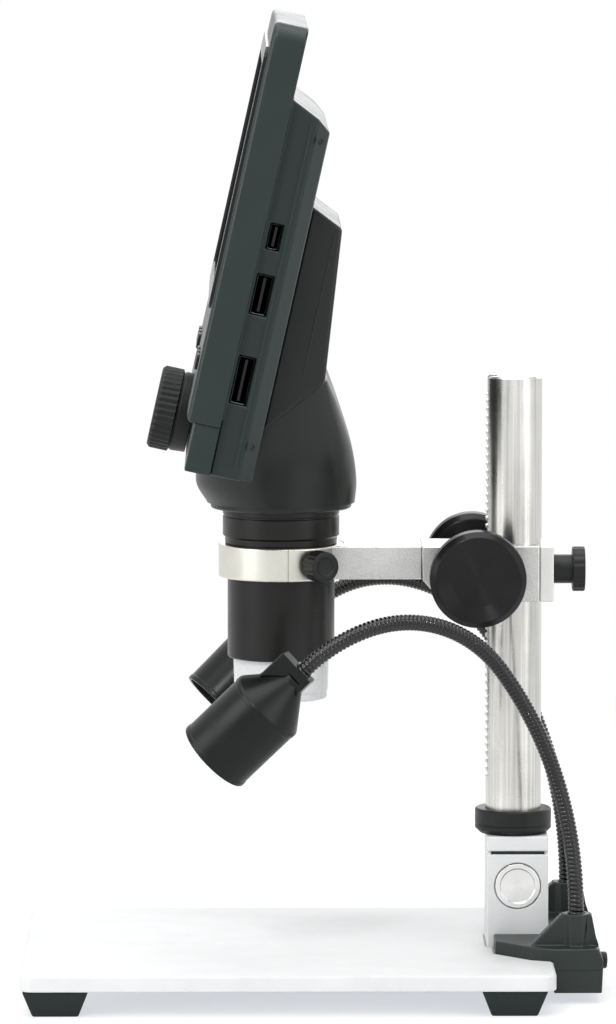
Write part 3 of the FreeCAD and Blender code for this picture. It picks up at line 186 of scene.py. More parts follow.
def softened(corners: Sequence[Sequence[float]], radius: float | Sequence[float], steps: int = 5,
             closed: bool = True) -> Array:
    """Rounds a polygon's corners.

    Each corner gives way to an arc that touches both of its sides. The arc's middle lies on the
    corner's bisector, at the radius over the sine of half the corner's angle.

    Args:
        corners: Points in two coordinates.
        radius: One radius, or one for each corner.
        steps: Points on each arc.
        closed: False leaves the first and last points as they are.

    Returns:
        An array with the same number of points at each corner.
    """
    corners = np.asarray(corners, float)
    radii = np.broadcast_to(np.asarray(radius, float), len(corners))
    rounded = []
    for here, before, after, wanted in zip(corners, np.roll(corners, 1, 0), np.roll(corners, -1, 0), radii):
        back, ahead = before - here, after - here
        reach = min(np.linalg.norm(back), np.linalg.norm(ahead)) * MOST_OF_SIDE
        back, ahead = back / np.linalg.norm(back), ahead / np.linalg.norm(ahead)
        half = math.acos(float(np.clip(back @ ahead, -1, 1))) / 2
        bends = FOLDED_HALF < half < STRAIGHT_HALF
        tangent = min(wanted / math.tan(half), reach) if bends else 0.0
        middle = here
        if tangent:
            middle = here + (back + ahead) / np.linalg.norm(back + ahead) * tangent / math.cos(half)
        turn = np.linspace(0, 1, steps)[:, None]
        first, last = here + back * tangent - middle, here + ahead * tangent - middle
        arc = first * (1 - turn) + last * turn
        length = np.linalg.norm(arc, axis=1, keepdims=True)
        rounded.append(middle + arc / np.maximum(length, 1e-9) * np.linalg.norm(first))
    points = np.concatenate(rounded)
    if not closed:
        points = np.concatenate([corners[:1], points[steps:-steps], corners[-1:]])
    return points


def inset(corners: Sequence[Sequence[float]], amount: float) -> Array:
    """Moves each side of a polygon inwards: a corner goes along its mitre, the sum of both normals."""
    corners = np.asarray(corners, float)
    following = np.roll(corners, -1, 0)
    ahead = following - corners
    area = float(np.sum(corners[:, 0] * following[:, 1] - corners[:, 1] * following[:, 0]))
    normal = np.stack([-ahead[:, 1], ahead[:, 0]], 1) / np.linalg.norm(ahead, axis=1, keepdims=True)
    normal = normal * math.copysign(1.0, area)
    before = np.roll(normal, 1, 0)
    mitre = (normal + before) / (1 + np.sum(normal * before, 1))[:, None]
    return corners + mitre * amount


def oblong(low: Sequence[float], high: Sequence[float]) -> Array:
    """The corners of a rectangle between two points."""
    return np.array([(low[0], low[1]), (high[0], low[1]), (high[0], high[1]), (low[0], high[1])])


def rings(stack: Array, wrapped: bool = False, capped: bool = True) -> Skin:
    """Joins a stack of closed rings into a skin.

    Args:
        stack: Points as rings by points by three coordinates.
        wrapped: True joins the last ring to the first, as on a frame or a bush.
        capped: True closes the first and last rings with one face each.

    Returns:
        The skin, of four-sided faces between neighbouring rings.
    """
    count, around = stack.shape[:2]
    index = np.arange(count * around).reshape(count, around)
    below = index if wrapped else index[:-1]
    above = np.roll(index, -1, 0) if wrapped else index[1:]
    quads = np.stack([below, np.roll(below, -1, 1), np.roll(above, -1, 1), above], -1).reshape(-1, 4)
    faces = quads.tolist()
    if capped and not wrapped:
        faces += [index[0, ::-1].tolist(), index[-1].tolist()]
    return Skin(stack.reshape(-1, 3), faces)


def level(outline: Array, height: float) -> Array:
    """A flat outline as points at one height."""
    return np.column_stack([outline, np.full(len(outline), height)])


def prism(corners: Sequence[Sequence[float]], corner: float, low: float, high: float, edge: float,
          steps: int = 6) -> Skin:
    """Raises an outline between two heights, with its corners and both rims rounded.

    Near each rim the outline is drawn in by the edge times one minus the sine of the rim's angle,
    and the height follows the edge times one minus the cosine.

    Args:
        corners: The outline's corners in two coordinates.
        corner: Radius of the upright corners.
        low: Height of the bottom.
        high: Height of the top.
        edge: Radius of both rims.
        steps: Points on each arc.

    Returns:
        A closed skin.
    """
    turn = np.linspace(0, math.pi / 2, RIM_POINTS)
    draw, rise = edge * (1 - np.sin(turn)), edge * (1 - np.cos(turn))
    bottom = list(zip(draw, low + rise))
    top = list(zip(draw[::-1], high - rise[::-1]))
    return rings(np.stack([
        level(softened(inset(corners, amount), max(corner - amount, LEAST_CORNER), steps), height)
        for amount, height in bottom + top
    ]))


def rounded(corners: Sequence[Triple], steps: int, closed: bool = False) -> Array:
    """Rounds a profile whose rows give a corner's distance from the axis, its height and its radius.

    Args:
        corners: One row for each corner, in millimetres.
        steps: Points on each arc.
        closed: True for a profile whose last corner joins its first.

    Returns:
        Points of radius and height.
    """
    table = np.asarray(corners, float)
    return softened(table[:, :2], table[:, 2], steps, closed)


def turned(profile: Array, around: int = 128, wrapped: bool = False,
           ribs: Callable[[Array, Array], Array] | None = None) -> Skin:
    """Turns a profile about the up axis: x is the radius times the cosine, y times the sine.

    Args:
        profile: Points of radius and height.
        around: Points round the axis.
        wrapped: True for a profile whose last point joins its first.
        ribs: A change of radius for heights and angles given as arrays.

    Returns:
        The skin, whose poles close when their points are merged.
    """
    angle = np.linspace(0, FULL_TURN, around, endpoint=False)[None, :]
    radius, height = profile[:, :1] * np.ones_like(angle), profile[:, 1:] * np.ones_like(angle)
    if ribs is not None:
        radius = radius + ribs(height, angle) * (profile[:, :1] > 0)
    return rings(np.stack([radius * np.cos(angle), radius * np.sin(angle), height], -1), wrapped, False)


def grip(count: int, depth: float, low: float, high: float) -> Callable[[Array, Array], Array]:
    """Ribs along a round grip: the radius drops by the depth times a cosine's sharpened half wave.

    Args:
        count: Ribs round the grip.
        depth: Depth of the grooves.
        low: Height where the ribs begin.
        high: Height where they end.

    Returns:
        The change of radius as a function of height and angle.
    """
    def change(height: Array, angle: Array) -> Array:
        """The groove's depth at each height and angle."""
        groove = np.clip(0.5 - 0.5 * np.cos(angle * count), 0, 1) ** GROOVE_POWER
        ends = np.clip((height - low) / depth, 0, 1) * np.clip((high - height) / depth, 0, 1)
        return -depth * groove * ends
    return change


def smooth_between(values: Array, count: int) -> Array:
    """Fills in a table of sections by Catmull-Rom curves: each span's ends keep the neighbours' slope."""
    padded = np.concatenate([2 * values[:1] - values[1:2], values, 2 * values[-1:] - values[-2:-1]])
    t = np.linspace(0, 1, count, endpoint=False).reshape(-1, *([1] * (values.ndim)))
    p0, p1, p2, p3 = padded[:-3], padded[1:-2], padded[2:-1], padded[3:]
    curve = 0.5 * (2 * p1 + (p2 - p0) * t + (2 * p0 - 5 * p1 + 4 * p2 - p3) * t ** 2
                   + (3 * p1 - p0 - 3 * p2 + p3) * t ** 3)
    joined = np.swapaxes(curve, 0, 1).reshape(-1, *values.shape[1:])
    return np.concatenate([joined, values[-1:]])


def swept(path: Array, radius: Callable[[Array, Array], Array], around: int = 24) -> Skin:
    """Carries a round section along a path.

    The section's two axes are carried from point to point without twist: each is the last one
    less its share along the new direction.

    Args:
        path: Points in millimetres.
        radius: The section's radius for arc lengths and angles given as arrays.
        around: Points round the section.

    Returns:
        A skin with flat ends.
    """
    ahead = np.gradient(path, axis=0)
    ahead /= np.linalg.norm(ahead, axis=1, keepdims=True)
    first = np.cross(ahead[0], (0.0, 1.0, 0.0))
    axes = [first / np.linalg.norm(first)]
    for direction in ahead[1:]:
        carried = axes[-1] - direction * (axes[-1] @ direction)
        axes.append(carried / np.linalg.norm(carried))
    right = np.array(axes)
    over = np.cross(ahead, right)
    length = np.concatenate([[0], np.cumsum(np.linalg.norm(np.diff(path, axis=0), axis=1))])
    angle = np.linspace(0, FULL_TURN, around, endpoint=False)[None, :]
    reach = radius(length[:, None], angle)[..., None]
    ring = right[:, None] * np.cos(angle)[..., None] + over[:, None] * np.sin(angle)[..., None]
    return rings(path[:, None] + ring * reach)


def feed(tree: NodeTree, node: bpy.types.Node, inputs: dict[str | int, object]) -> None:
    """Sets a shader node's inputs.

    Args:
        tree: The tree that the node stands in.
        node: The node.
        inputs: For an input's name or number, its value or the socket that it is linked from.
    """
    for key, value in inputs.items():
        if isinstance(value, NodeSocket):
            tree.links.new(value, node.inputs[key])
        else:
            node.inputs[key].default_value = value


def add_node(tree: NodeTree, kind: str, inputs: dict[str | int, object] | None = None,
             **settings: str) -> bpy.types.Node:
    """Adds a shader node to a tree.

    Args:
        tree: The tree.
        kind: The node's type, without the word that they all begin with.
        inputs: What its inputs are set to or linked from.
        settings: The node's own properties.

    Returns:
        The new node.
    """
    node = tree.nodes.new("ShaderNode" + kind)
    for name, value in settings.items():
        setattr(node, name, value)
    feed(tree, node, inputs or {})
    return node


def larger(tree: NodeTree, one: NodeSocket, other: NodeSocket) -> NodeSocket:
    """The larger of two sockets' values."""
    return add_node(tree, "Math", {0: one, 1: other}, operation="MAXIMUM").outputs[0]


@dataclass(frozen=True)
class Finish:
    """One surface finish, as a procedural material on object coordinates.

    Attributes:
        name: The material's name.
        colour: Base colour in linear light.
        roughness: Mean roughness.
        metallic: One for bare metal.
        specular: Strength of the highlight on a non-metal.
        coat: Weight of a clear coat.
        clear: Share of light that passes through.
        grain: Size of the fine marks in millimetres.
        depth: Height of the fine marks in millimetres.
        speckle: Colour change from mark to mark, as a share.
        patch: Size of the broad mottling in millimetres.
        mottle: Change of roughness over the broad mottling.
        tint: Change of colour over the broad mottling, as a share.
        pattern: How the fine marks run.
        axis: Direction of brushed marks, or the axis of turned ones.
        centre: A point on the axis of turned marks, in millimetres.
        anisotropy: How far the highlight is drawn out across turned marks.
    """

    name: str
    colour: Triple
    roughness: float = 0.45
    metallic: float = 0.0
    specular: float = 0.5
    coat: float = 0.0
    clear: float = 0.0
    grain: float = 0.35
    depth: float = 0.02
    speckle: float = 0.04
    patch: float = 18.0
    mottle: float = 0.06
    tint: float = 0.06
    pattern: Pattern = Pattern.GRAIN
    axis: Triple = (0.0, 0.0, 1.0)
    centre: Triple = (0.0, 0.0, 0.0)
    anisotropy: float = 0.0

    def material(self) -> bpy.types.Material:
        """Builds the material: fine noise drives the bump and the speckle, broad noise the mottling."""
        made = bpy.data.materials.new(self.name)
        made.use_nodes = True
        tree = made.node_tree
        shader = tree.nodes["Principled BSDF"]
        place = add_node(tree, "TexCoord").outputs["Object"]
        fine = self._marks(tree, place)
        broad = add_node(tree, "TexNoise", {
            "Scale": 1 / (self.patch * MM), "Detail": BROAD_DETAIL, "Vector": place,
        }).outputs["Fac"]
        smoothest, roughest = self.roughness - self.mottle, self.roughness + self.mottle
        feed(tree, shader, {
            "Base Color": self._colour(tree, broad, fine),
            "Roughness": self._range(tree, broad, smoothest, roughest),
            "Metallic": self.metallic,
            "Specular IOR Level": self.specular,
            "Coat Weight": self.coat,
            "Transmission Weight": self.clear,
        })
        if self.depth:
            bump = add_node(tree, "Bump", {"Distance": self.depth * MM, "Height": fine})
            feed(tree, shader, {"Normal": bump.outputs["Normal"]})
        if self.anisotropy:
            outward = add_node(tree, "VectorTransform", {0: self._outward(tree, place)},
                               vector_type="VECTOR", convert_from="OBJECT", convert_to="WORLD")
            feed(tree, shader, {"Tangent": outward.outputs[0], "Anisotropic": self.anisotropy})
        return made

    def _outward(self, tree: NodeTree, place: NodeSocket) -> NodeSocket:
        """The place less the centre, which points across the marks of a turned face."""
        centre = tuple(np.array(self.centre) * MM)
        return add_node(tree, "VectorMath", {0: place, 1: centre}, operation="SUBTRACT").outputs[0]

    @staticmethod
    def _range(tree: NodeTree, value: NodeSocket, low: float, high: float) -> NodeSocket:
        """Maps the middle of a noise's span to the span from low to high."""
        return add_node(tree, "MapRange", {
            "Value": value, "From Min": NOISE_LOW, "From Max": NOISE_HIGH, "To Min": low, "To Max": high,
        }).outputs["Result"]

    def _colour(self, tree: NodeTree, broad: NodeSocket, fine: NodeSocket) -> NodeSocket:
        """Mixes the colour between a darker and a lighter one by both noises."""
        share = add_node(tree, "Math", {
            0: self._range(tree, broad, -self.tint, self.tint),
            1: self._range(tree, fine, -self.speckle, self.speckle),
        }, operation="ADD")
        factor = add_node(tree, "MapRange", {
            "Value": share.outputs[0], "From Min": -COLOUR_SPREAD, "From Max": COLOUR_SPREAD,
        })
        mix = add_node(tree, "Mix", {0: factor.outputs["Result"]}, data_type="RGBA")
        darkest = [channel * (1 - COLOUR_SPREAD) for channel in self.colour]
        lightest = [min(channel * (1 + COLOUR_SPREAD), 1.0) for channel in self.colour]
        colours = [socket for socket in mix.inputs if socket.type == "RGBA"]
        colours[0].default_value = (*darkest, 1.0)
        colours[1].default_value = (*lightest, 1.0)
        return next(socket for socket in mix.outputs if socket.type == "RGBA")

    def _marks(self, tree: NodeTree, place: NodeSocket) -> NodeSocket:
        """Noise for the fine marks: even, drawn out along the axis, or a function of the distance from it."""
        noise = add_node(tree, "TexNoise", {"Scale": 1 / (self.grain * MM), "Detail": FINE_DETAIL})
        axis = np.array(self.axis) / np.linalg.norm(self.axis)
        if self.pattern is Pattern.BRUSHED:
            scale = tuple(1 - BRUSH_STRETCH * np.abs(axis))
            drawn = add_node(tree, "VectorMath", {0: place, 1: scale}, operation="MULTIPLY")
            feed(tree, noise, {"Vector": drawn.outputs[0]})
        elif self.pattern is Pattern.TURNED:
            outward = self._outward(tree, place)
            cross = add_node(tree, "VectorMath", {0: outward, 1: tuple(axis)}, operation="CROSS_PRODUCT")
            distance = add_node(tree, "VectorMath", {0: cross.outputs[0]}, operation="LENGTH")
            noise.noise_dimensions = "1D"
            feed(tree, noise, {"W": distance.outputs["Value"]})
        else:
            feed(tree, noise, {"Vector": place})
        return noise.outputs["Fac"]


HEAD_PLASTIC = Finish("head_moulding", (0.0095, 0.0195, 0.0180), roughness=0.36,
                      specular=0.36, grain=0.28, depth=0.018)
CHIN_PLASTIC = Finish("housing_moulding", (0.0085, 0.0118, 0.0100), roughness=0.34,
                      specular=0.34, grain=0.3, depth=0.012)
BLACK_PLASTIC = Finish("black_moulding", (0.0065, 0.0075, 0.0070), roughness=0.42,
                       specular=0.30, grain=0.3)
GLOSS_PLASTIC = Finish("black_gloss", (0.0040, 0.0045, 0.0045), roughness=0.24,
                       specular=0.28, grain=0.6, depth=0.004)
BARREL_BLACK = Finish("barrel_black", (0.0045, 0.0050, 0.0040), roughness=0.32,
                      specular=0.32, grain=0.25, depth=0.008)
BRACKET_PLASTIC = Finish("bracket_moulding", (0.0150, 0.0215, 0.0190), roughness=0.40,
                         specular=0.36, grain=0.35, depth=0.02)
LAMP_BLACK = Finish("lamp_moulding", (0.0030, 0.0048, 0.0038), roughness=0.34,
                    specular=0.24, grain=0.3, depth=0.014)
NECK_BLACK = Finish("neck_coating", (0.0034, 0.0038, 0.0038), roughness=0.14,
                    specular=0.5, grain=0.5, depth=0.004)
POWDER_WHITE = Finish("powder_white", (0.86, 0.87, 0.865), roughness=0.55,
                      specular=0.3, grain=0.5, depth=0.012, speckle=0.03)
RUBBER = Finish("rubber", (0.0165, 0.0220, 0.0215), roughness=0.72,
                specular=0.25, grain=0.25, depth=0.03, speckle=0.1)
STEEL = Finish("steel", (0.58, 0.58, 0.57), roughness=0.3, metallic=1.0,
               grain=0.2, depth=0.006, speckle=0.08)
BRASS = Finish("brass", (0.66, 0.48, 0.20), roughness=0.28, metallic=1.0,
               grain=0.3, depth=0.004, speckle=0.06)
BLASTED = Finish("blasted_aluminium", (0.60, 0.60, 0.59), roughness=0.42, metallic=1.0,
                 grain=0.35, depth=0.05, speckle=0.3)
CREAM_BLASTED = Finish("end_plate_aluminium", (0.76, 0.74, 0.67), roughness=0.46, metallic=1.0,
                       grain=0.35, depth=0.02, speckle=0.08)
MILLED = Finish("milled_aluminium", (0.95, 0.96, 0.96), roughness=0.5, metallic=0.2,
                grain=0.25, depth=0.006, speckle=0.05,
                pattern=Pattern.BRUSHED, axis=(0.0, 1.0, 0.0))
DRAWN = Finish("drawn_aluminium", (0.62, 0.615, 0.59), roughness=0.27, metallic=1.0,
               grain=1.3, depth=0.03, speckle=0.22,
               pattern=Pattern.BRUSHED)
CLEAR = Finish("clear_moulding", (0.98, 0.99, 0.99), roughness=0.26,
               clear=0.12, grain=0.8, depth=0.004, speckle=0.01, tint=0.02)
LENS_GLASS = Finish("lens_glass", (0.86, 0.90, 0.92), roughness=0.03,
                    clear=0.95, coat=0.4, mottle=0.0, depth=0.0, tint=0.01)
FROSTED = Finish("frosted_lens", (0.90, 0.90, 0.86), roughness=0.42,
                 clear=0.6, grain=0.4, depth=0.03, speckle=0.02, tint=0.02)
SCREEN_GLASS = Finish("screen_glass", (0.010, 0.012, 0.015), roughness=0.06,
                      grain=0.9, depth=0.0, mottle=0.01, speckle=0.01)
SCREEN_DARK = Finish("display", (0.010, 0.012, 0.015), roughness=0.25,
                     grain=0.4, depth=0.0, speckle=0.02, tint=0.03)
SOLDER_GREEN = Finish("solder_mask", (0.012, 0.12, 0.045), roughness=0.35,
                      grain=1.2, depth=0.02, speckle=0.2)
SOLDER_WHITE = Finish("white_mask", (0.78, 0.78, 0.75), roughness=0.4, grain=0.9, depth=0.01)
# The sockets' steel is far darker than plated steel: painted shade that makes the socket mouths read as dark
# recesses.
SOCKET_STEEL_PAINTED_SHADE = Finish("socket_steel_painted_shade", (0.16, 0.16, 0.155), roughness=0.34, metallic=1.0,
                      grain=0.2, depth=0.004, speckle=0.08)
FOIL = Finish("foil", (0.55, 0.56, 0.57), roughness=0.3, metallic=1.0,
              grain=3.0, depth=0.05, speckle=0.08)
PHOSPHOR = Finish("phosphor", (0.80, 0.62, 0.10), roughness=0.35, coat=0.6, grain=0.3)

made_materials: dict[str, bpy.types.Material] = {}


def dressed(finish: Finish) -> bpy.types.Material:
    """The finish's material, made once."""
    if finish.name not in made_materials:
        made_materials[finish.name] = finish.material()
    return made_materials[finish.name]


@dataclass(frozen=True)
class Mount:
    """Where a piece belongs.

    Attributes:
        body: The CAD body that it rides on.
        slot: The record's material slot.
        nodes: CAD nodes that it stands for.
        spot: The place that its points are drawn in.
    """

    body: str
    # slot: The record's material slot. It is not used.
    slot: str
    nodes: tuple[str, ...] = ()
    spot: Spot = Spot()


def finished(name: str, mesh: bpy.types.Mesh, finish: Finish, mount: Mount, sharp: float) -> bpy.types.Object:
    """Smooths a mesh up to a sharp angle, gives it its finish, and hangs it on its body."""
    mesh.polygons.foreach_set("use_smooth", np.ones(len(mesh.polygons), bool))
    mesh.set_sharp_from_angle(angle=math.radians(sharp))
    mesh.materials.append(dressed(finish))
    piece = bpy.data.objects.new(name, mesh)
    bpy.context.scene.collection.objects.link(piece)
    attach(piece, mount.body)
    if mount.nodes:
        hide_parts(*mount.nodes)
    log.info("%s: %d faces", name, len(mesh.polygons))
    return piece


def weigh(piece: bpy.types.Object) -> None:
    """Lets large flat faces set the shading of the small ones beside them."""
    normals = piece.modifiers.new("weigh", "WEIGHTED_NORMAL")
    normals.keep_sharp = True


def make(name: str, skins: Sequence[Skin], finish: Finish, mount: Mount,
         sharp: float = 35.0) -> bpy.types.Object:
    """Makes one piece of several skins.

    Args:
        name: The piece's name.
        skins: Closed skins in the mount's spot.
        finish: What it is made of.
        mount: Where it belongs.
        sharp: Edges over this angle in degrees stay sharp.

    Returns:
        The new object, whose doubles are merged and whose faces point outwards.
    """
    mesh = bpy.data.meshes.new(name)
    starts = np.cumsum([0] + [len(skin.points) for skin in skins]).tolist()
    faces = [
        [corner + start for corner in face]
        for skin, start in zip(skins, starts)
        for face in skin.faces
    ]
    points = mount.spot.place(np.concatenate([skin.points for skin in skins])) * MM
    mesh.from_pydata(points.tolist(), [], faces)
    work = bmesh.new()
    work.from_mesh(mesh)
    bmesh.ops.remove_doubles(work, verts=work.verts, dist=SAME_POINT)
    bmesh.ops.recalc_face_normals(work, faces=work.faces)
    work.to_mesh(mesh)
    work.free()
    piece = finished(name, mesh, finish, mount, sharp)
    weigh(piece)
    return piece


def refined(node: str, edge: float, finish: Finish, mount: Mount, sharp: float = 32.0) -> bpy.types.Object:
    """Stands a merged copy of a CAD node in its place, with its edges eased by a bevel.

    Args:
        node: The CAD node, which the copy stands for.
        edge: The bevel's width in millimetres.
        finish: What it is made of.
        mount: Where it belongs.
        sharp: Edges over this angle in degrees are eased.

    Returns:
        The new object.
    """
    work = bmesh.new()
    work.from_mesh(frame["nodes"][node].data)
    bmesh.ops.remove_doubles(work, verts=work.verts, dist=SAME_CAD_POINT)
    flat = math.radians(FLAT_ANGLE)
    bmesh.ops.dissolve_limit(work, angle_limit=flat, verts=work.verts, edges=work.edges)
    mesh = bpy.data.meshes.new(node + "_part")
    work.to_mesh(mesh)
    work.free()
    if "custom_normal" in mesh.attributes:
        mesh.attributes.remove(mesh.attributes["custom_normal"])
    piece = finished(node + "_part", mesh, finish, Mount(mount.body, mount.slot, (node,)), sharp)
    bevel = piece.modifiers.new("ease", "BEVEL")
    bevel.width = edge * MM
    bevel.segments = BEVEL_STEPS
    bevel.limit_method = "ANGLE"
    bevel.angle_limit = math.radians(sharp)
    bevel.use_clamp_overlap = False
    bevel.harden_normals = False
    weigh(piece)
    return piece


def joint_named(name: str) -> dict:
    """The frame's joint of that name."""
    return next(joint for joint in frame["joints"] if joint["name"] == name)


def axis_spot(node: str) -> Spot:
    """A spot at table height on the upright axis through the middle of a CAD node."""
    low, high = Spot().span(node)
    return Spot((float((low[0] + high[0]) / 2), 0.0, 0.0))


def head_spot() -> Spot:
    """The head's own frame: across goes into the head along the dial's axis, up goes up the screen."""
    joint = joint_named("focus_dial_turn")
    inward = -np.array(joint["axis"])
    up = np.cross(inward, (0.0, 1.0, 0.0))
    return Spot(tuple(np.array(joint["pos_m"]) / MM), tuple(up))


HEAD = head_spot()


@dataclass(frozen=True)
class Lip:
    """A thin lip along both sides of one of the head's back boxes.

    Attributes:
        node: The box's CAD node.
        from_rear: How far before the box's rear face the lip runs, in millimetres.
        from_foot: How far above the box's foot it begins.
        from_top: How far below the box's top it ends.
    """

    node: str
    from_rear: float
    from_foot: float
    from_top: float


LIPS = (Lip("rear_housing", 7.7, 4.0, 33.5), Lip("camera_housing", 8.9, 26.0, 9.0))


@dataclass
class ScreenHead:
    """The tilted screen with its back shells, sockets, buttons and dial.

    Sizes are in millimetres. Heights and reaches come from the CAD nodes.
    """

    bezel_edge: float = 0.6
    bezel_bend: float = 0.3
    bezel_corner: float = 5.0
    window_corner: float = 1.2
    window_wide: float = 156.0
    window_high: float = 88.0
    button_corner: float = 1.2
    button_edge: float = 0.35
    dial_ribs: int = 40
    dial_groove: float = 0.75
    dial_rim: float = 1.3
    dial_dish: float = 0.6
    dial_dish_radius: float = 11.7
    dial_neck: float = 0.9
    dial_shaft: float = 3.0
    dial_deep: float = 15.6
    dial_skirt: float = 6.6
    shell_wall: float = 0.35
    shell_corner: float = 0.9
    tongue_half: float = 0.6
    tongue_sunk: float = 0.9
    insert_sunk: float = 2.6
    lip_width: float = 0.7
    lip_proud: float = 0.3
    lip_sunk: float = 0.05
    lip_edge: float = 0.12
    bevel_wide: float = 7.0
    bevel_deep: float = 5.3
    screw_low: float = 14.0
    screw_down: float = 39.0
    screw_radius: float = 1.5
    screw_sunk: float = 0.3
    screw_proud: float = 0.08
    screw_recess: float = 0.2
    rim_inset: float = 1.4
    rim_height: float = 2.2
    rim_chamfer: float = 0.5
    rim_overlap: float = 0.2
    rear_swell: float = 0.6

    def build(self) -> None:
        """Makes every piece of the head."""
        refined("front_cover", 0.7, HEAD_PLASTIC, Mount("head", "head_plastic"))
        refined("rear_housing", 0.8, HEAD_PLASTIC, Mount("head", "head_plastic"))
        refined("camera_housing", 1.4, CHIN_PLASTIC, Mount("head", "head_plastic"))
        self.bezel()
        self.optical_housing()
        self.lips()
        self.screws()
        self.dial()
        for number in range(1, 7):
            self.button(number)
        for node in ("usb_socket", "hdmi_socket", "card_slot"):
            self.socket(node)

    def bezel(self) -> None:
        """The raised bezel: rings from its outer rim over the front and down into the window."""
        low, high = HEAD.span("screen_bezel")
        middle = (low + high) / 2
        outer = oblong(low[1:], high[1:])
        half = np.array([self.window_wide, self.window_high]) / 2
        window = oblong(middle[1:] - half, middle[1:] + half)
        edge, front, back = self.bezel_edge, low[0], high[0]
        corner, window_corner, bend = self.bezel_corner, self.window_corner, self.bezel_bend * edge
        path = [
            (outer, 0, corner, back), (outer, 0, corner, front + edge),
            (outer, bend, corner - 0.2, front + bend), (outer, edge, corner - edge, front),
            (window, -edge, window_corner + edge, front), (window, 0, window_corner, front + edge),
            (window, 0, window_corner, back),
        ]
        stack = np.stack([
            level(softened(inset(corners, amount), radius, 8), depth)[:, [2, 0, 1]]
            for corners, amount, radius, depth in path
        ])
        make("screen_bezel_part", [rings(stack, wrapped=True)], GLOSS_PLASTIC,
             Mount("head", "black_gloss", ("screen_bezel",), HEAD))

    def optical_housing(self) -> None:
        """The housing over the barrel: rounded sections that swell and then narrow into the wedge.

        Each section is a rectangle with round corners. Its row gives its height, how far its front
        and its rear stand from the lens axis, half its width and its corner radius. The first is the
        round rim, the second the widest and the last one lies under the wedge. Catmull-Rom curves
        fill in between them.
        """
        low, high = Spot().span("optical_housing")
        barrel_low, barrel_high = Spot().span("upper_barrel")
        axis, foot = (barrel_low[0] + barrel_high[0]) / 2, low[2]
        radius = (high[0] - axis) - self.rear_swell
        wide = float(Spot().span("camera_housing")[1][1])
        sections = np.array([
            (0, radius, radius, radius - 0.5, radius - 1),
            (9, radius + 4.5, radius + self.rear_swell, radius + 3, radius - 1),
            (22, radius + 2, radius - 1.2, (radius + wide) / 2, radius - 4),
            (38, radius - 6, radius - 6.2, wide - 3.5, radius - 9),
            (52, radius - 18, radius - 11.5, wide - 0.5, radius / 4),
        ])
        stack = []
        for up, front, rear, half, corner in smooth_between(sections, 10):
            outline = softened(oblong((axis - front, -half), (axis + rear, half)), corner, 14)
            stack.append(level(outline, foot + self.rim_height + up))
        rim, chamfer = radius - self.rim_inset, self.rim_chamfer
        top = foot + self.rim_height + self.rim_overlap
        disc = turned(np.array([
            (0, foot), (rim - chamfer, foot), (rim, foot + chamfer), (rim, top), (0, top),
        ])).moved((axis, 0, 0))
        make("optical_housing_part", [rings(np.stack(stack)), disc], CHIN_PLASTIC,
             Mount("head", "head_plastic", ("optical_housing",)), sharp=40)

    def lips(self) -> None:
        """A thin moulded lip along each side of the two back boxes, near their rear edges.

        The lips of the camera's box lie on it. Those of the rear box stand about 4.5 mm off it.
        """
        skins = []
        for lip in LIPS:
            low, high = HEAD.span(lip.node)
            depth, half = high[0] - lip.from_rear, self.lip_width / 2
            corners = oblong(
                (depth - half, low[2] + lip.from_foot), (depth + half, high[2] - lip.from_top),
            )
            for side in Side:
                wall = side.value * (high[1] - self.lip_sunk)
                near, far = sorted((wall, wall + side.value * self.lip_proud))
                bar = prism(corners, half, near, far, self.lip_edge, 4)
                skins.append(Skin(bar.points[:, [0, 2, 1]], bar.faces))
        make("side_lips", skins, HEAD_PLASTIC, Mount("head", "head_plastic", (), HEAD))

    def screws(self) -> None:
        """Four small dark screws over the rear shell's side bevels, 2 to 3 mm off them, near their ends.

        A bevel runs from the shell's side to its rear face. Its outward normal has the bevel's width
        along the depth and the bevel's depth along the side.
        """
        low, high = HEAD.span("rear_housing")
        axes, slope = HEAD.axes(), np.array((self.bevel_wide, self.bevel_deep))
        slope = slope / np.linalg.norm(slope)
        for side in Side:
            middle = (high[0] - self.bevel_deep / 2, side.value * (high[1] - self.bevel_wide / 2))
            for number, up in enumerate((low[2] + self.screw_low, high[2] - self.screw_down)):
                place = HEAD.place(np.array((middle[0], middle[1], up)))
                spot = facing(tuple(place), tuple(slope[0] * axes[0] + side.value * slope[1] * axes[1]))
                radius, foot, face, floor = (
                    self.screw_radius, -self.screw_sunk, self.screw_proud, -self.screw_recess,
                )
                profile = rounded([
                    (0, foot, 0), (radius, foot, 0), (radius, face, 0.1), (radius * 0.55, face, 0.05),
                    (radius * 0.5, floor, 0.05), (0, floor, 0),
                ], 3)
                make(f"shell_screw_{side.word}_{number}", [turned(profile, 32)], BLACK_PLASTIC,
                     Mount("head", "head_plastic", (), spot))

    def dial(self) -> None:
        """The focus dial: a smooth skirt, a notch, and a cap with grip ribs and a dished face."""
        spot = Spot(HEAD.origin, tuple(-HEAD.axes()[0]), (0.0, 1.0, 0.0))
        low, high = spot.span("focus_dial")
        radius, top, shaft = high[1], high[2], self.dial_shaft
        skirt = top - self.dial_deep
        cap, dish = skirt + self.dial_skirt, top - self.dial_dish
        profile = rounded([
            (0, low[2], 0), (shaft, low[2], 0), (shaft, skirt, 0), (radius - 1.1, skirt, 0.4),
            (radius - 0.7, cap - self.dial_neck, 0.3), (radius - 1.3, cap, 0.2), (radius, cap + 0.5, 0.3),
            (radius, top - self.dial_rim, 0.8), (radius - self.dial_rim, top, 0.6),
            (self.dial_dish_radius, dish, 1.0), (0, dish, 0),
        ], 5)
        ribs = grip(self.dial_ribs, self.dial_groove, cap + 0.4, top - 0.5)
        make("focus_dial_part", [turned(profile, self.dial_ribs * 10, ribs=ribs)], BLACK_PLASTIC,
             Mount("dial", "black_plastic", ("focus_dial",), spot), sharp=50)

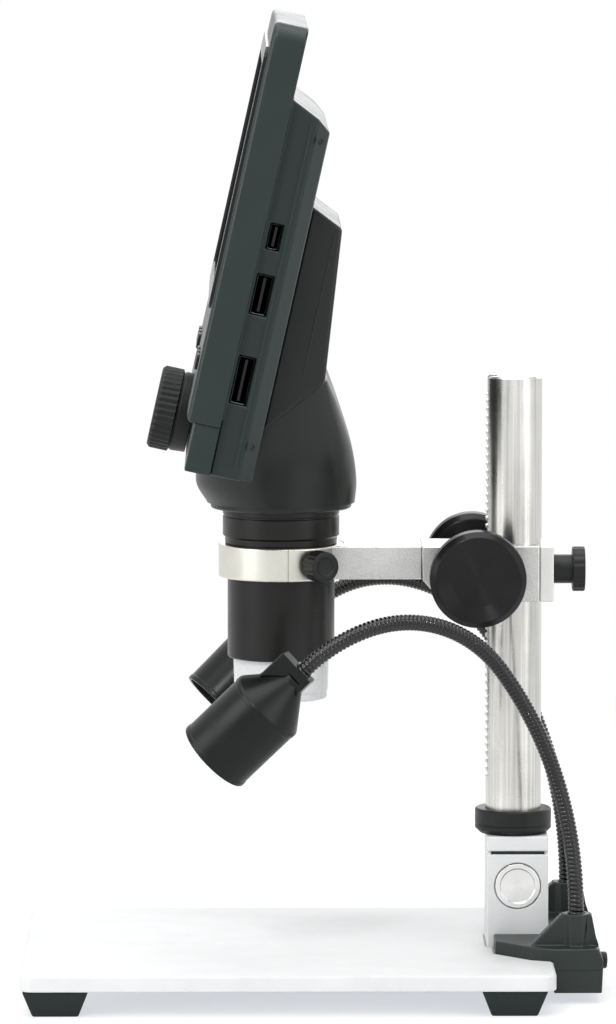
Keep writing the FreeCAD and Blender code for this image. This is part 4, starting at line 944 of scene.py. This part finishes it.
    def socket(self, node: str) -> None:
        """A socket: a thin folded metal shell in steel darkened as painted shade of its recess, open at its
        mouth, and a dark tongue inside it.
        """
        spot = Spot(HEAD.origin, (0.0, -1.0, 0.0), tuple(HEAD.axes()[2]))
        low, high = spot.span(node)
        outer, wall, corner = oblong(low[:2], high[:2]), self.shell_wall, self.shell_corner
        mouth = high[2]
        path = [
            (0, low[2]), (0, mouth - wall / 2), (wall / 2, mouth), (wall, mouth - wall / 2),
            (wall, low[2] + wall),
        ]
        shell = np.stack([
            level(softened(inset(outer, amount), corner - amount, 5), depth) for amount, depth in path
        ])
        # The shell's dark steel is painted shade of the socket's recess.
        make(node + "_part", [rings(shell)], SOCKET_STEEL_PAINTED_SHADE, Mount("head", "steel", (node,), spot))
        middle, half, reach = outer.mean(0), self.tongue_half, (high[1] - low[1]) / 2 - 3 * wall
        tongue = oblong(middle - (half, reach), middle + (half, reach))
        floor = mouth - self.insert_sunk
        insert = prism(inset(outer, wall), corner - wall, low[2] + wall, floor, 0.1, 3)
        blade = prism(tongue, 0.2, floor - 0.2, mouth - self.tongue_sunk, 0.15, 3)
        make(node + "_tongue", [insert, blade], BLACK_PLASTIC, Mount("head", "black_plastic", (), spot))

    def button(self, number: int) -> None:
        """One push button: a round-cornered pad with eased rims."""
        node = f"button_{number}"
        low, high = HEAD.span(node)
        pad = prism(oblong(low[1:], high[1:]), self.button_corner, low[0], high[0], self.button_edge)
        points = pad.points[:, [2, 0, 1]]
        make(node + "_part", [Skin(points, pad.faces)], BLACK_PLASTIC,
             Mount(f"key_{number}", "black_plastic", (node,), HEAD))


@dataclass
class LensBarrel:
    """The barrel that hangs through the ring, with the clear hood and the lamps under it."""

    groove: float = 0.35
    foot_inset: float = 0.9
    chamber: float = 20.0
    hood_wall: float = 1.4
    hood_seat: float = 6.0
    board_thick: float = 1.6
    leds: int = 8
    led_size: float = 2.6
    led_circle: float = 14.0

    def build(self) -> None:
        """Makes every piece of the barrel."""
        self.upper()
        self.lower()
        self.hood()
        self.led_ring()

    def upper(self) -> None:
        """The upper step, with its narrower foot and a turned groove."""
        spot = axis_spot("upper_barrel")
        low, high = spot.span("upper_barrel")
        radius, foot, top = high[1], low[2], high[2]
        narrow, groove = radius - self.foot_inset, radius - self.groove
        profile = softened([
            (0, foot), (narrow, foot), (narrow, foot + 2.4), (radius, foot + 3.2),
            (radius, top - 3.4), (groove, top - 3.1), (groove, top - 2.6), (radius, top - 2.3),
            (radius, top), (0, top),
        ], 0.3, 4, closed=False)
        make("upper_barrel_part", [turned(profile, 160)], BARREL_BLACK,
             Mount("head", "barrel_black", ("upper_barrel",), spot))

    def lower(self) -> None:
        """The lower step: a tube with a chamber in its mouth."""
        spot = axis_spot("upper_barrel")
        low, high = spot.span("lower_barrel")
        radius, foot, top = high[1], low[2], high[2]
        bore = spot.span("lens_hood")[1][1] + CLEARANCE
        ceiling = foot + self.chamber
        profile = rounded([
            (bore, foot, 0.1), (radius - 0.4, foot, 0.4), (radius, foot + 0.6, 0.4), (radius, top, 0.2),
            (0, top, 0), (0, ceiling, 0), (bore, ceiling, 0.2), (bore, foot + 1, 0.01),
        ], 4, closed=True)
        make("lower_barrel_part", [turned(profile, 160, wrapped=True)], BARREL_BLACK,
             Mount("head", "barrel_black", ("lower_barrel",), spot))

    def hood(self) -> None:
        """The clear hood: a thin tapering wall with a rounded lip and a faint ring round its foot."""
        spot = axis_spot("upper_barrel")
        low, high = spot.span("lens_hood")
        radius, foot, top = high[1], low[2], high[2]
        wall, seat = self.hood_wall, top - self.hood_seat
        profile = rounded([
            (radius - 0.7 - wall, foot, 0.5), (radius - 0.7, foot, 0.6), (radius - 0.6, foot + 3.0, 0.2),
            (radius - 0.35, foot + 3.4, 0.2), (radius, seat, 0.3), (radius, top, 0.2),
            (radius - wall, top, 0.2), (radius - wall, seat, 0.3),
        ], 4, closed=True)
        make("lens_hood_part", [turned(profile, 160, wrapped=True)], CLEAR,
             Mount("head", "clear_plastic", ("lens_hood",), spot))

    def led_ring(self) -> None:
        """The white lamp board with its square lamps round the lens."""
        spot = axis_spot("upper_barrel")
        low, high = spot.span("led_ring")
        outer, top = high[1], high[2]
        inner, under = spot.span("lens_cell")[1][1] + CLEARANCE, top - self.board_thick
        board = turned(oblong((inner, under), (outer, top)), 96, True)
        make("led_ring_part", [board], SOLDER_WHITE, Mount("head", "board_white", ("led_ring",), spot))
        half = self.led_size / 2
        corners = oblong((self.led_circle - half, -half), (self.led_circle + half, half))
        lamps = []
        for number in range(self.leds):
            turn = FULL_TURN * number / self.leds
            spin = np.array([[math.cos(turn), math.sin(turn)], [-math.sin(turn), math.cos(turn)]])
            lamps.append(prism(corners @ spin, 0.3, low[2], under, 0.15, 3))
        make("led_chips", lamps, PHOSPHOR, Mount("head", "board_white", (), spot))


@dataclass
class FocusCarriage:
    """The carriage, arm and ring, the drive with its two knobs, and both thumb screws."""

    knob_edge: float = 2.2
    knob_dish: float = 1.2
    knob_dish_radius: float = 10.5
    knob_hub: float = 7.5
    knob_thick: float = 13.0
    screw_head: float = 8.0
    ring_stem: float = 2.0
    brake_stem: float = 3.0
    brake_collar: float = 5.8
    slit_turn: float = -84.0
    slit_width: float = 0.5
    slit_depth: float = 0.7
    screw_ribs: int = 18
    screw_groove: float = 0.6

    def build(self) -> None:
        """Makes every piece of the carriage."""
        refined("carriage_block", 0.5, BLASTED, Mount("carriage", "satin_aluminium"))
        refined("carriage_end_plate", 0.5, CREAM_BLASTED, Mount("carriage", "satin_aluminium"))
        refined("arm", 0.45, BLASTED, Mount("carriage", "satin_aluminium"))
        refined("shaft_bushes", 0.15, BRASS, Mount("carriage", "brass"))
        self.ring()
        for side in Side:
            self.knob(side)
        self.ring_screw()
        self.brake_screw()

    def ring(self) -> None:
        """The ring that holds the barrel, turned with eased rims and a narrow split down its outside."""
        low, high = Spot().span("ring_clamp")
        spot = axis_spot("ring_clamp")
        radius = high[1]
        bore = spot.span("lower_barrel")[1][1] + CLEARANCE
        profile = rounded([
            (bore, low[2], 0.3), (radius, low[2], 0.7), (radius, high[2], 0.7), (bore, high[2], 0.3),
        ], 5, closed=True)
        finish = Finish("turned_aluminium", (0.70, 0.665, 0.60), roughness=0.3, metallic=1.0,
                        grain=0.25, depth=0.008, speckle=0.05,
                        pattern=Pattern.BRUSHED, axis=(1.0, 1.0, 0.0))

        def slit(height: Array, angle: Array) -> Array:
            """The split's depth: full within half its width of its line down the ring's outside."""
            apart = np.abs((angle - math.radians(self.slit_turn) + math.pi) % FULL_TURN - math.pi) * radius
            outside = (profile[:, :1] > (bore + radius) / 2) * np.ones_like(angle)
            return -self.slit_depth * (apart < self.slit_width / 2) * outside

        make("ring_clamp_part", [turned(profile, 900, wrapped=True, ribs=slit)], finish,
             Mount("carriage", "ring_aluminium", ("ring_clamp",), spot))

    def knob(self, side: Side) -> None:
        """A focus knob: its hub, a rounded rim and a dished face with a turned finish."""
        node = f"focus_knob_{side.word}"
        low, high = Spot().span(node)
        centre = (low + high) / 2
        origin = (float(centre[0]), 0.0, float(centre[2]))
        spot = facing(origin, (0.0, float(side.value), 0.0))
        local_low, local_high = spot.span(node)
        radius, start, face = (high[2] - low[2]) / 2, local_low[2], local_high[2]
        hub, edge = self.knob_hub, self.knob_edge
        back, dish = face - self.knob_thick, face - self.knob_dish
        profile = rounded([
            (0, start, 0), (hub, start, 0.3), (hub, back, 0.4), (radius - edge, back, 1.2),
            (radius, back + edge, 1.2), (radius, face - edge, 1.2), (radius - edge, face, 0.9),
            (self.knob_dish_radius, dish, 2.0), (0, dish, 0),
        ], 7)
        finish = Finish("knob_gloss", (0.0020, 0.0022, 0.0022), roughness=0.32, specular=0.28,
                        grain=0.55, depth=0.012, mottle=0.03, anisotropy=0.85,
                        pattern=Pattern.TURNED, axis=(0.0, 1.0, 0.0), centre=origin)
        make(node + "_part", [turned(profile, 192)], finish,
             Mount("focus_drive", "black_gloss", (node,), spot))

    @staticmethod
    def screw_spot(name: str) -> Spot:
        """The spot of a thumb screw: its joint's place, with the joint's axis as up."""
        joint = joint_named(name + "_turn")
        return facing(tuple(np.array(joint["pos_m"]) / MM), tuple(joint["axis"]))

    def ring_screw(self) -> None:
        """The ring's thumb screw: a thin stem under a head whose face has a narrow raised rim."""
        spot, stem = self.screw_spot("ring_screw"), self.ring_stem
        low, high = spot.span("ring_thumb_screw")
        radius, end = high[0], high[2]
        head, face = end - self.screw_head, end - 0.5
        profile = rounded([
            (0, low[2], 0), (stem, low[2], 0.2), (stem, head, 0.2), (radius, head, 0.6),
            (radius, end, 0.7), (radius - 2.4, end, 0.2), (radius - 2.8, face, 0.2), (0, face, 0),
        ], 5)
        self.ribbed_screw("ring", profile, head, end, spot)

    def brake_screw(self) -> None:
        """The brake's thumb screw: a stem, a collar against the block, and a flat-faced head."""
        spot, stem, collar = self.screw_spot("brake_screw"), self.brake_stem, self.brake_collar
        low, high = spot.span("brake_thumb_screw")
        radius, head, end = high[0], self.screw_head, high[2]
        profile = rounded([
            (0, low[2], 0), (stem, low[2], 0.2), (stem, 0.3, 0.1), (collar, 0.3, 0.3),
            (collar, head, 0.3), (radius, head, 0.6), (radius, end, 0.6), (0, end, 0),
        ], 5)
        self.ribbed_screw("brake", profile, head, end, spot)

    def ribbed_screw(self, word: str, profile: Array, head: float, end: float, spot: Spot) -> None:
        """Turns a thumb screw's profile, with grip ribs round its head.

        Args:
            word: What the screw holds, as in its node's name.
            profile: Points of radius and height.
            head: Height where the head begins.
            end: Height of its face.
            spot: The screw's spot.
        """
        node = f"{word}_thumb_screw"
        ribs = grip(self.screw_ribs, self.screw_groove, head + 0.3, end - 0.3)
        make(node + "_part", [turned(profile, self.screw_ribs * 10, ribs=ribs)], BLACK_PLASTIC,
             Mount(f"{word}_screw", "black_plastic", (node,), spot), sharp=45)


@dataclass
class RackPost:
    """The post with its rack, the collar round it, and the block that it stands in."""

    edge: float = 0.8
    cut_drop: float = 7.2
    cut_wide: float = 1.2
    cut_deep: float = 0.84
    cut_sunk: float = 0.12
    cut_short: float = 1.6
    rack_half: float = 3.5
    flute: float = 0.25
    cap_deep: float = 2.4
    cap_rim: float = 2.0
    cap_sunk: float = 0.8

    def build(self) -> None:
        """Makes every piece of the post."""
        self.post()
        self.collar()
        refined("focus_rack", 0.1, STEEL, Mount("stand", "steel"))
        refined("post_foot", 0.45, MILLED, Mount("stand", "bright_aluminium"))
        self.caps()
        self.saw_cut()

    def saw_cut(self) -> None:
        """A dark bar in the saw cut on both sides of the block, with soft ends: painted shade that stands for
        the shade inside the cut.
        """
        low, high = Spot().span("post_foot")
        start, short = high[2] - self.cut_drop, self.cut_short
        skins = []
        for side in Side:
            face = side.value * (high[1] - self.cut_sunk)
            near, far = sorted((face, face - side.value * self.cut_deep))
            corners = oblong((low[0] + short, near), (high[0] - short, far))
            skins.append(prism(corners, 0.2, start, start + self.cut_wide, 0.3, 3))
        # The dark rubber finish here is painted shade: the bar stands for the shade in the cut, not for a
        # part of the block.
        make("saw_cut_painted_shade", skins, RUBBER, Mount("stand", "bright_aluminium"))

    def post(self) -> None:
        """The post: a round bar whose front is milled flat-sided from the rack's foot to its top.

        Both outlines share their angles. In the milled one the points near the front sit on the slot's
        two walls and its floor instead of the circle.
        """
        low, high = Spot().span("post")
        rack_low, rack_high = Spot().span("focus_rack")
        middle, radius = (low + high) / 2, (high[1] - low[1]) / 2
        mouth = math.asin(self.rack_half / radius)
        floor = middle[0] - rack_high[0]
        round_turn = np.linspace(math.pi + mouth, 3 * math.pi - mouth, 120)
        bar = np.stack([np.cos(round_turn), np.sin(round_turn)], 1) * radius
        slot_side = np.linspace(bar[-1, 0], -floor, 4)[1:]
        slot = np.concatenate([
            np.stack([slot_side, np.full(3, self.rack_half)], 1),
            np.stack([slot_side[::-1], np.full(3, -self.rack_half)], 1),
        ])
        front = np.linspace(math.pi - mouth, math.pi + mouth, 8)[1:-1]
        whole = np.concatenate([bar, np.stack([np.cos(front), np.sin(front)], 1) * radius])
        milled = np.concatenate([bar, slot])
        top, start = high[2], rack_low[2]
        stack = np.stack([
            level(whole, low[2]), level(whole, start), level(milled, start),
            level(milled, top - self.edge), level(milled * (1 - self.edge / radius), top),
        ])
        make("post_part", [rings(stack)], DRAWN,
             Mount("stand", "bright_aluminium", ("post",), axis_spot("post")))

    def collar(self) -> None:
        """The black collar: a chamfered ring with a shallow turned groove."""
        low, high = Spot().span("post_collar")
        spot = axis_spot("post_collar")
        radius, bore = high[1], spot.span("post")[1][1] + CLEARANCE
        foot, top, groove = low[2], high[2], radius - self.flute
        profile = rounded([
            (bore, foot, 0.2), (radius - 2, foot, 0.5), (radius, foot + 2, 0.4), (radius, foot + 3.2, 0.05),
            (groove, foot + 3.4, 0.05), (groove, foot + 3.7, 0.05), (radius, foot + 3.9, 0.05),
            (radius, top - 0.6, 0.3), (radius - 0.6, top, 0.3), (bore, top, 0.2),
        ], 4, closed=True)
        make("post_collar_part", [turned(profile, 128, wrapped=True)], BLACK_PLASTIC,
             Mount("stand", "black_plastic", ("post_collar",), spot))

    def caps(self) -> None:
        """The round caps sunk into both sides of the block: a raised rim round a turned face."""
        low, high = Spot().span("cross_bolt_caps")
        middle, radius, reach = (low + high) / 2, (high[0] - low[0]) / 2, high[1]
        origin = (float(middle[0]), 0.0, float(middle[2]))
        back, face, rim = reach - self.cap_deep, reach - self.cap_sunk, radius - self.cap_rim
        cap = turned(rounded([
            (0, back, 0), (radius, back, 0.1), (radius, reach, 0.3), (rim, reach, 0.3),
            (rim - 0.2, face, 0.2), (0, face, 0),
        ], 4), 96)
        skins = [Skin(cap.points * (1, side.value, side.value), cap.faces) for side in Side]
        finish = Finish("cap_aluminium", (0.90, 0.89, 0.87), roughness=0.26, metallic=1.0,
                        grain=0.35, depth=0.01, speckle=0.05, anisotropy=0.6,
                        pattern=Pattern.TURNED, axis=(0.0, 1.0, 0.0), centre=origin)
        make("cross_bolt_cap_pair", skins, finish,
             Mount("stand", "bright_aluminium", ("cross_bolt_caps",), facing(origin, (0.0, 1.0, 0.0))))


@dataclass
class BasePlate:
    """The specimen plate on its four rubber feet."""

    def build(self) -> None:
        """Makes the plate, feet and screws."""
        refined("base_plate", 0.5, POWDER_WHITE, Mount("stand", "white_plate"))
        refined("rubber_feet", 0.7, RUBBER, Mount("stand", "dark_rubber"))
        refined("foot_screws", 0.2, STEEL, Mount("stand", "steel"))


@dataclass
class LampBracket:
    """The bracket behind the plate that carries both lamps, with its switch and power inlet."""

    dome: float = 1.0
    dome_rise: float = 0.4
    seam_height: float = 13.4
    seam_wide: float = 0.35
    seam_proud: float = 0.04
    seam_sunk: float = 1.0

    def build(self) -> None:
        """Makes the bracket and its fittings."""
        refined("lamp_bracket", 0.6, BRACKET_PLASTIC, Mount("stand", "bracket_plastic"))
        # The power socket takes the same darkened steel, painted shade of its recess.
        refined("power_socket", 0.1, SOCKET_STEEL_PAINTED_SHADE, Mount("stand", "steel"))
        self.seam()
        low, high = Spot().span("lamp_switch")
        middle = (low + high) / 2
        spot = facing((0.0, float(middle[1]), float(middle[2])), (1.0, 0.0, 0.0))
        start, end, radius = low[0], high[0], (high[1] - low[1]) / 2
        profile = rounded([
            (0, start, 0), (radius, start, 0.2), (radius, end - self.dome_rise, self.dome), (0, end, 0),
        ], 8)
        make("lamp_switch_part", [turned(profile, 64)], BLACK_PLASTIC,
             Mount("switch_button", "black_plastic", ("lamp_switch",), spot))

    def seam(self) -> None:
        """The dark line round the ends of the body where its two halves meet."""
        low, high = Spot().span("lamp_bracket")
        plate_end = Spot().span("base_plate")[1][0]
        low_corner = (plate_end + self.seam_sunk, low[1] - self.seam_proud)
        high_corner = (high[0] - self.seam_sunk, high[1] + self.seam_proud)
        bottom, top = self.seam_height, self.seam_height + self.seam_wide
        line = prism(oblong(low_corner, high_corner), 0.2, bottom, top, 0.05, 3)
        make("bracket_seam", [line], BLACK_PLASTIC, Mount("stand", "bracket_plastic"))


@dataclass
class GooseneckLamp:
    """One lamp: a spiral-wound neck that arches out of the bracket, and the shade at its end.

    The neck's line is a straight run, three arcs and a straight run. Angles are in degrees and
    lengths in millimetres. A direction is given by how far it turns from -X to the side and climbs.
    """

    side: Side
    neck_radius: float = 3.2
    lead: float = 10.0
    heading: float = 28.0
    rise: tuple[float, float] = (155.0, 39.0)
    arch: tuple[float, float] = (58.0, 61.0)
    tip_radius: float = 38.0
    tail: float = 6.0
    lamp_heading: float = -15.0
    lamp_pitch: float = -44.0
    socket_depth: float = 8.5
    pitch: float = 1.75
    ridge: float = 0.55
    crest_power: float = 0.7
    rings_per_pitch: int = 8
    lamp_radius: float = 15.7
    lamp_length: float = 46.0
    cone: float = 16.0
    wall: float = 1.5
    lip: float = 0.25
    boss_radius: float = 5.0
    boss_length: float = 2.0
    hollow: float = 22.0
    board_thick: float = 1.6
    chip_radius: float = 3.5
    chip_rise: float = 2.0
    lens_wave: float = 0.25
    lens_waves: float = 2.2

    def build(self) -> None:
        """Makes the neck and the lamp's head."""
        self.neck()
        self.shade()
        refined(f"neck_sleeve_{self.side.word}", 0.6, LAMP_BLACK, self.mount("black_plastic"))
        self.light()

    def mount(self, slot: str, *nodes: str, spot: Spot = Spot()) -> Mount:
        """A mount on this lamp's body."""
        return Mount(f"lamp_{self.side.word}", slot, nodes, spot)

    def direction(self, turn: float, climb: float) -> Array:
        """The unit vector that turns from -X towards this lamp's side and climbs."""
        turn, climb = math.radians(turn), math.radians(climb)
        level_share = math.cos(climb)
        return np.array([
            -math.cos(turn) * level_share, self.side.value * math.sin(turn) * level_share, math.sin(climb),
        ])

    def line(self) -> tuple[Array, Array]:
        """Works out the neck's middle line.

        An arc's points are its middle less the inward direction times the radius and the angle's
        cosine, plus the first direction times the radius and the angle's sine.

        Returns:
            Points spaced a part of the winding's pitch apart, and the direction at the end.
        """
        socket = np.array(joint_named(f"lamp_{self.side.word}_swing")["pos_m"]) / MM
        point, ahead = socket - (0, 0, self.socket_depth), np.array([0.0, 0.0, 1.0])
        step = self.pitch / self.rings_per_pitch
        runs = [point[None]]

        def straight(length: float) -> None:
            """Adds a straight run."""
            nonlocal point
            along = np.linspace(0, length, max(int(length / step), 2))[1:, None]
            runs.append(point + ahead * along)
            point = runs[-1][-1]

        def bend(target: Array, radius: float) -> None:
            """Adds an arc that ends along the target."""
            nonlocal point, ahead
            turn = math.acos(float(np.clip(ahead @ target, -1, 1)))
            inward = target - ahead * (ahead @ target)
            inward /= np.linalg.norm(inward)
            angle = np.linspace(0, turn, max(int(radius * turn / step), 2))[1:, None]
            runs.append(point + inward * radius * (1 - np.cos(angle)) + ahead * radius * np.sin(angle))
            point, ahead = runs[-1][-1], target

        straight(self.lead)
        climb = 90 - self.rise[1]
        bend(self.direction(self.heading, climb), self.rise[0])
        bend(self.direction(self.heading, climb - self.arch[1]), self.arch[0])
        bend(self.direction(self.lamp_heading, self.lamp_pitch), self.tip_radius)
        straight(self.tail)
        return np.concatenate(runs), ahead

    def neck(self) -> None:
        """The wound neck: the radius rises and falls once a pitch, and the crest winds round as a helix."""
        path = self.line()[0]

        def winding(length: Array, angle: Array) -> Array:
            """The radius at an arc length and an angle: a round crest between narrow gaps."""
            phase = length / self.pitch + angle / FULL_TURN
            crest = np.abs(np.cos(math.pi * phase)) ** self.crest_power
            return self.neck_radius - self.ridge * (1 - crest)

        node = f"gooseneck_{self.side.word}"
        make(node + "_part", [swept(path, winding, 28)], NECK_BLACK, self.mount("neck_black", node), sharp=80)

    def end_spot(self) -> Spot:
        """The spot at the neck's end whose up axis looks out of the lamp."""
        path, ahead = self.line()
        return facing(tuple(path[-1]), tuple(ahead))

    def shade(self) -> None:
        """The shade: neck boss, cone, thin raised band, straight wall with a rolled lip, and hollow."""
        radius, length, cone = self.lamp_radius, self.lamp_length, self.cone
        boss, neck, wall = self.boss_radius, self.boss_length, radius - self.lip
        inside, floor = radius - self.wall, length - self.hollow
        profile = rounded([
            (0, 0, 0), (boss, 0, 0.4), (boss, neck, 0.5), (radius - 0.4, cone - 0.6, 0.5),
            (radius, cone + 0.2, 0.3), (radius, cone + 1.6, 0.2), (wall, cone + 1.9, 0.15),
            (wall, length - 2.2, 0.2), (radius, length - 1.8, 0.3), (radius, length, 0.5),
            (inside, length, 0.4), (inside - 0.2, floor, 0.3), (0, floor, 0),
        ], 5)
        node = f"lamp_shade_{self.side.word}"
        make(node + "_part", [turned(profile, 144)], LAMP_BLACK,
             self.mount("lamp_black", node, spot=self.end_spot()))

    def light(self) -> None:
        """The lamp's board and lens: a white board with a domed lamp, and a frosted lens with rings."""
        spot, word = self.end_spot(), self.side.word
        low, high = spot.span(f"lamp_board_{word}")
        back, edge = low[2], high[1]
        face = back + self.board_thick
        board = rounded([(0, back, 0), (edge, back, 0.1), (edge, face, 0.2), (0, face, 0)], 3)
        make(f"lamp_board_{word}_part", [turned(board, 96)], SOLDER_WHITE,
             self.mount("board_white", f"lamp_board_{word}", spot=spot))
        turn = np.linspace(0, math.pi / 2, 10)
        dome = np.stack([self.chip_radius * np.cos(turn), face + self.chip_rise * np.sin(turn)], 1)
        dome[-1, 0] = 0
        make(f"lamp_chip_{word}", [turned(np.concatenate([[(0, face)], dome]), 48)], PHOSPHOR,
             self.mount("board_white", spot=spot))
        low, high = spot.span(f"lamp_lens_{word}")
        radius = np.linspace(high[1], 0, 40)
        drop = self.lens_wave + self.lens_wave * np.cos(radius * self.lens_waves)
        front = np.stack([radius, high[2] - drop], 1)
        lens = np.concatenate([[(0, low[2]), (high[1], low[2])], front])
        make(f"lamp_lens_{word}_part", [turned(lens, 96)], FROSTED,
             self.mount("lamp_lens", f"lamp_lens_{word}", spot=spot), sharp=50)


@dataclass
class InnerPieces:
    """CAD nodes that stay as they are and take a finish of their own."""

    def build(self) -> None:
        """Gives each shown CAD node its finish."""
        finishes = {
            "screen_glass": SCREEN_GLASS, "display_panel": SCREEN_DARK, "main_board": SOLDER_GREEN,
            "battery_pack": FOIL, "lens_cell": BARREL_BLACK, "objective_lens": LENS_GLASS, "pinion": BRASS,
            "focus_shaft": STEEL, "brake_pad": BRASS,
        }
        for node, finish in finishes.items():
            shown = frame["nodes"][node]
            for slot in shown.material_slots:
                slot.material = dressed(finish)
            log.info("%s keeps its CAD mesh", node)


@dataclass
class Studio:
    """A pale floor, a white world, soft lights and the photograph's camera. Lengths are in metres.

    Each bright part of the world, as reflections show it, is given by the share of its direction
    where its brightness begins to rise, where it is full, and its least brightness.
    """

    distance: float = 2.7
    tilt: float = 6.0
    yaw: float = -0.56
    target: Triple = (-0.0032, 0.0, 0.1905)
    focal_pixels: float = 6750.0
    frame_height: float = 1024.0
    sensor: float = 36.0
    floor_half: float = 60.0
    floor_lit: Triple = (0.78, 0.79, 0.80)
    floor_shaded: Triple = (0.46, 0.44, 0.40)
    floor_glow: Triple = (0.60, 0.62, 0.66)
    shadow_near: float = 0.16
    shadow_far: float = 0.9
    fill_colour: Triple = (0.94, 0.97, 1.0)
    fill_strength: float = 0.42
    bright_sides: Triple = (0.12, 0.62, 0.30)
    bright_top: Triple = (0.05, 0.55, 0.0)
    bright_behind: Triple = (-0.25, 0.35, 0.0)
    aim: Triple = (0.0, 0.0, 0.15)

    def build(self) -> None:
        """Makes the floor, world, lights and camera."""
        self.floor()
        self.world()
        self.light("top", (-0.1, -0.2, 1.9), (1.8, 1.8), 26.0)
        self.light("left", (-1.7, -0.9, 0.9), (1.1, 1.6), 17.0)
        self.light("front", (0.2, -2.4, 0.5), (2.0, 0.9), 3.0)
        self.light("spark", (-0.5, -1.7, 1.5), (0.22, 0.22), 11.0)
        self.light("right", (1.5, -1.2, 0.8), (0.9, 1.4), 9.0)
        self.light("back", (0.5, 1.8, 1.0), (1.6, 1.2), 11.0)
        self.camera()
        view = bpy.context.scene.view_settings
        view.view_transform = "Standard"

    def camera(self) -> None:
        """The camera: it looks at the target from the distance, turned by the yaw and tilted down."""
        tilt, yaw = math.radians(self.tilt), math.radians(self.yaw)
        back = Vector((math.sin(yaw) * math.cos(tilt), -math.cos(yaw) * math.cos(tilt), math.sin(tilt)))
        data = bpy.data.cameras.new("camera")
        data.sensor_width = self.sensor
        data.lens = self.focal_pixels / self.frame_height * self.sensor
        data.clip_end = 200.0
        made = bpy.data.objects.new("camera", data)
        bpy.context.scene.collection.objects.link(made)
        made.location = Vector(self.target) + back * self.distance
        made.rotation_mode = "QUATERNION"
        made.rotation_quaternion = (-back).to_track_quat("-Z", "Y")
        bpy.context.scene.camera = made

    def light(self, name: str, place: Triple, size: tuple[float, float], power: float) -> None:
        """One rectangular soft light that looks at the middle of the instrument."""
        data = bpy.data.lights.new(name, "AREA")
        data.shape = "RECTANGLE"
        data.size, data.size_y = size
        data.energy = power
        made = bpy.data.objects.new(name, data)
        bpy.context.scene.collection.objects.link(made)
        made.location = place
        aim = Vector(self.aim) - Vector(place)
        made.rotation_mode = "QUATERNION"
        made.rotation_quaternion = aim.to_track_quat("-Z", "Y")

    @staticmethod
    def seen(tree: NodeTree) -> NodeSocket:
        """One for camera, glossy and transmission rays, and nought for the rest."""
        path = add_node(tree, "LightPath")
        total = path.outputs["Is Camera Ray"]
        for name in ("Is Glossy Ray", "Is Transmission Ray"):
            total = larger(tree, total, path.outputs[name])
        return total

    def floor(self) -> None:
        """The floor: white to the camera far out, and near the instrument a mix that keeps its shadow."""
        corners = oblong((-self.floor_half, -self.floor_half), (self.floor_half, self.floor_half))
        mesh = bpy.data.meshes.new("floor")
        mesh.from_pydata(level(corners, 0).tolist(), [], [(0, 1, 2, 3)])
        floor = bpy.data.objects.new("floor", mesh)
        bpy.context.scene.collection.objects.link(floor)
        made = bpy.data.materials.new("pale_floor")
        made.use_nodes = True
        tree = made.node_tree
        tree.nodes.clear()
        plain = add_node(tree, "BsdfDiffuse", {"Color": (*self.floor_lit, 1)})
        shaded = add_node(tree, "BsdfDiffuse", {"Color": (*self.floor_shaded, 1)})
        glow = add_node(tree, "Emission", {"Color": (*self.floor_glow, 1)})
        near = add_node(tree, "AddShader", {0: shaded.outputs[0], 1: glow.outputs[0]})
        white = add_node(tree, "Emission")
        place = add_node(tree, "TexCoord").outputs["Object"]
        length = add_node(tree, "VectorMath", {0: place}, operation="LENGTH").outputs["Value"]
        far = add_node(tree, "MapRange", {
            "Value": length, "From Min": self.shadow_near, "From Max": self.shadow_far,
        }, interpolation_type="SMOOTHSTEP").outputs["Result"]
        shown = add_node(tree, "MixShader", {0: far, 1: near.outputs[0], 2: white.outputs[0]})
        choose = add_node(tree, "MixShader", {0: self.seen(tree), 1: plain.outputs[0], 2: shown.outputs[0]})
        add_node(tree, "OutputMaterial", {"Surface": choose.outputs[0]})
        mesh.materials.append(made)

    def world(self) -> None:
        """The world: an even fill light, and a white surround that reflections show greyer low in front."""
        world = bpy.data.worlds.new("studio")
        bpy.context.scene.world = world
        world.use_nodes = True
        tree = world.node_tree
        tree.nodes.clear()
        fill = add_node(tree, "Background", {
            "Color": (*self.fill_colour, 1), "Strength": self.fill_strength,
        })
        way = add_node(tree, "TexCoord").outputs["Generated"]
        share = add_node(tree, "SeparateXYZ", {0: way}).outputs
        across = add_node(tree, "Math", {0: share["X"]}, operation="ABSOLUTE").outputs[0]
        bands = ((across, self.bright_sides), (share["Z"], self.bright_top), (share["Y"], self.bright_behind))
        brightest = add_node(tree, "LightPath").outputs["Is Camera Ray"]
        for value, (start, full, least) in bands:
            band = add_node(tree, "MapRange", {
                "Value": value, "From Min": start, "From Max": full, "To Min": least,
            }, interpolation_type="SMOOTHSTEP").outputs["Result"]
            brightest = larger(tree, brightest, band)
        shown = add_node(tree, "Background", {"Color": (1, 1, 1, 1), "Strength": brightest})
        choose = add_node(tree, "MixShader", {0: self.seen(tree), 1: fill.outputs[0], 2: shown.outputs[0]})
        add_node(tree, "OutputWorld", {"Surface": choose.outputs[0]})


def main() -> None:
    """Builds the studio and each sub-assembly in order."""
    logging.basicConfig(level=logging.INFO, format="%(message)s")
    Studio().build()
    for assembly in (BasePlate(), RackPost(), FocusCarriage(), ScreenHead(), LensBarrel(), LampBracket(),
                     GooseneckLamp(Side.NEAR), GooseneckLamp(Side.FAR), InnerPieces()):
        log.info("building %s", type(assembly).__name__)
        assembly.build()


if __name__ == "__main__":
    main()
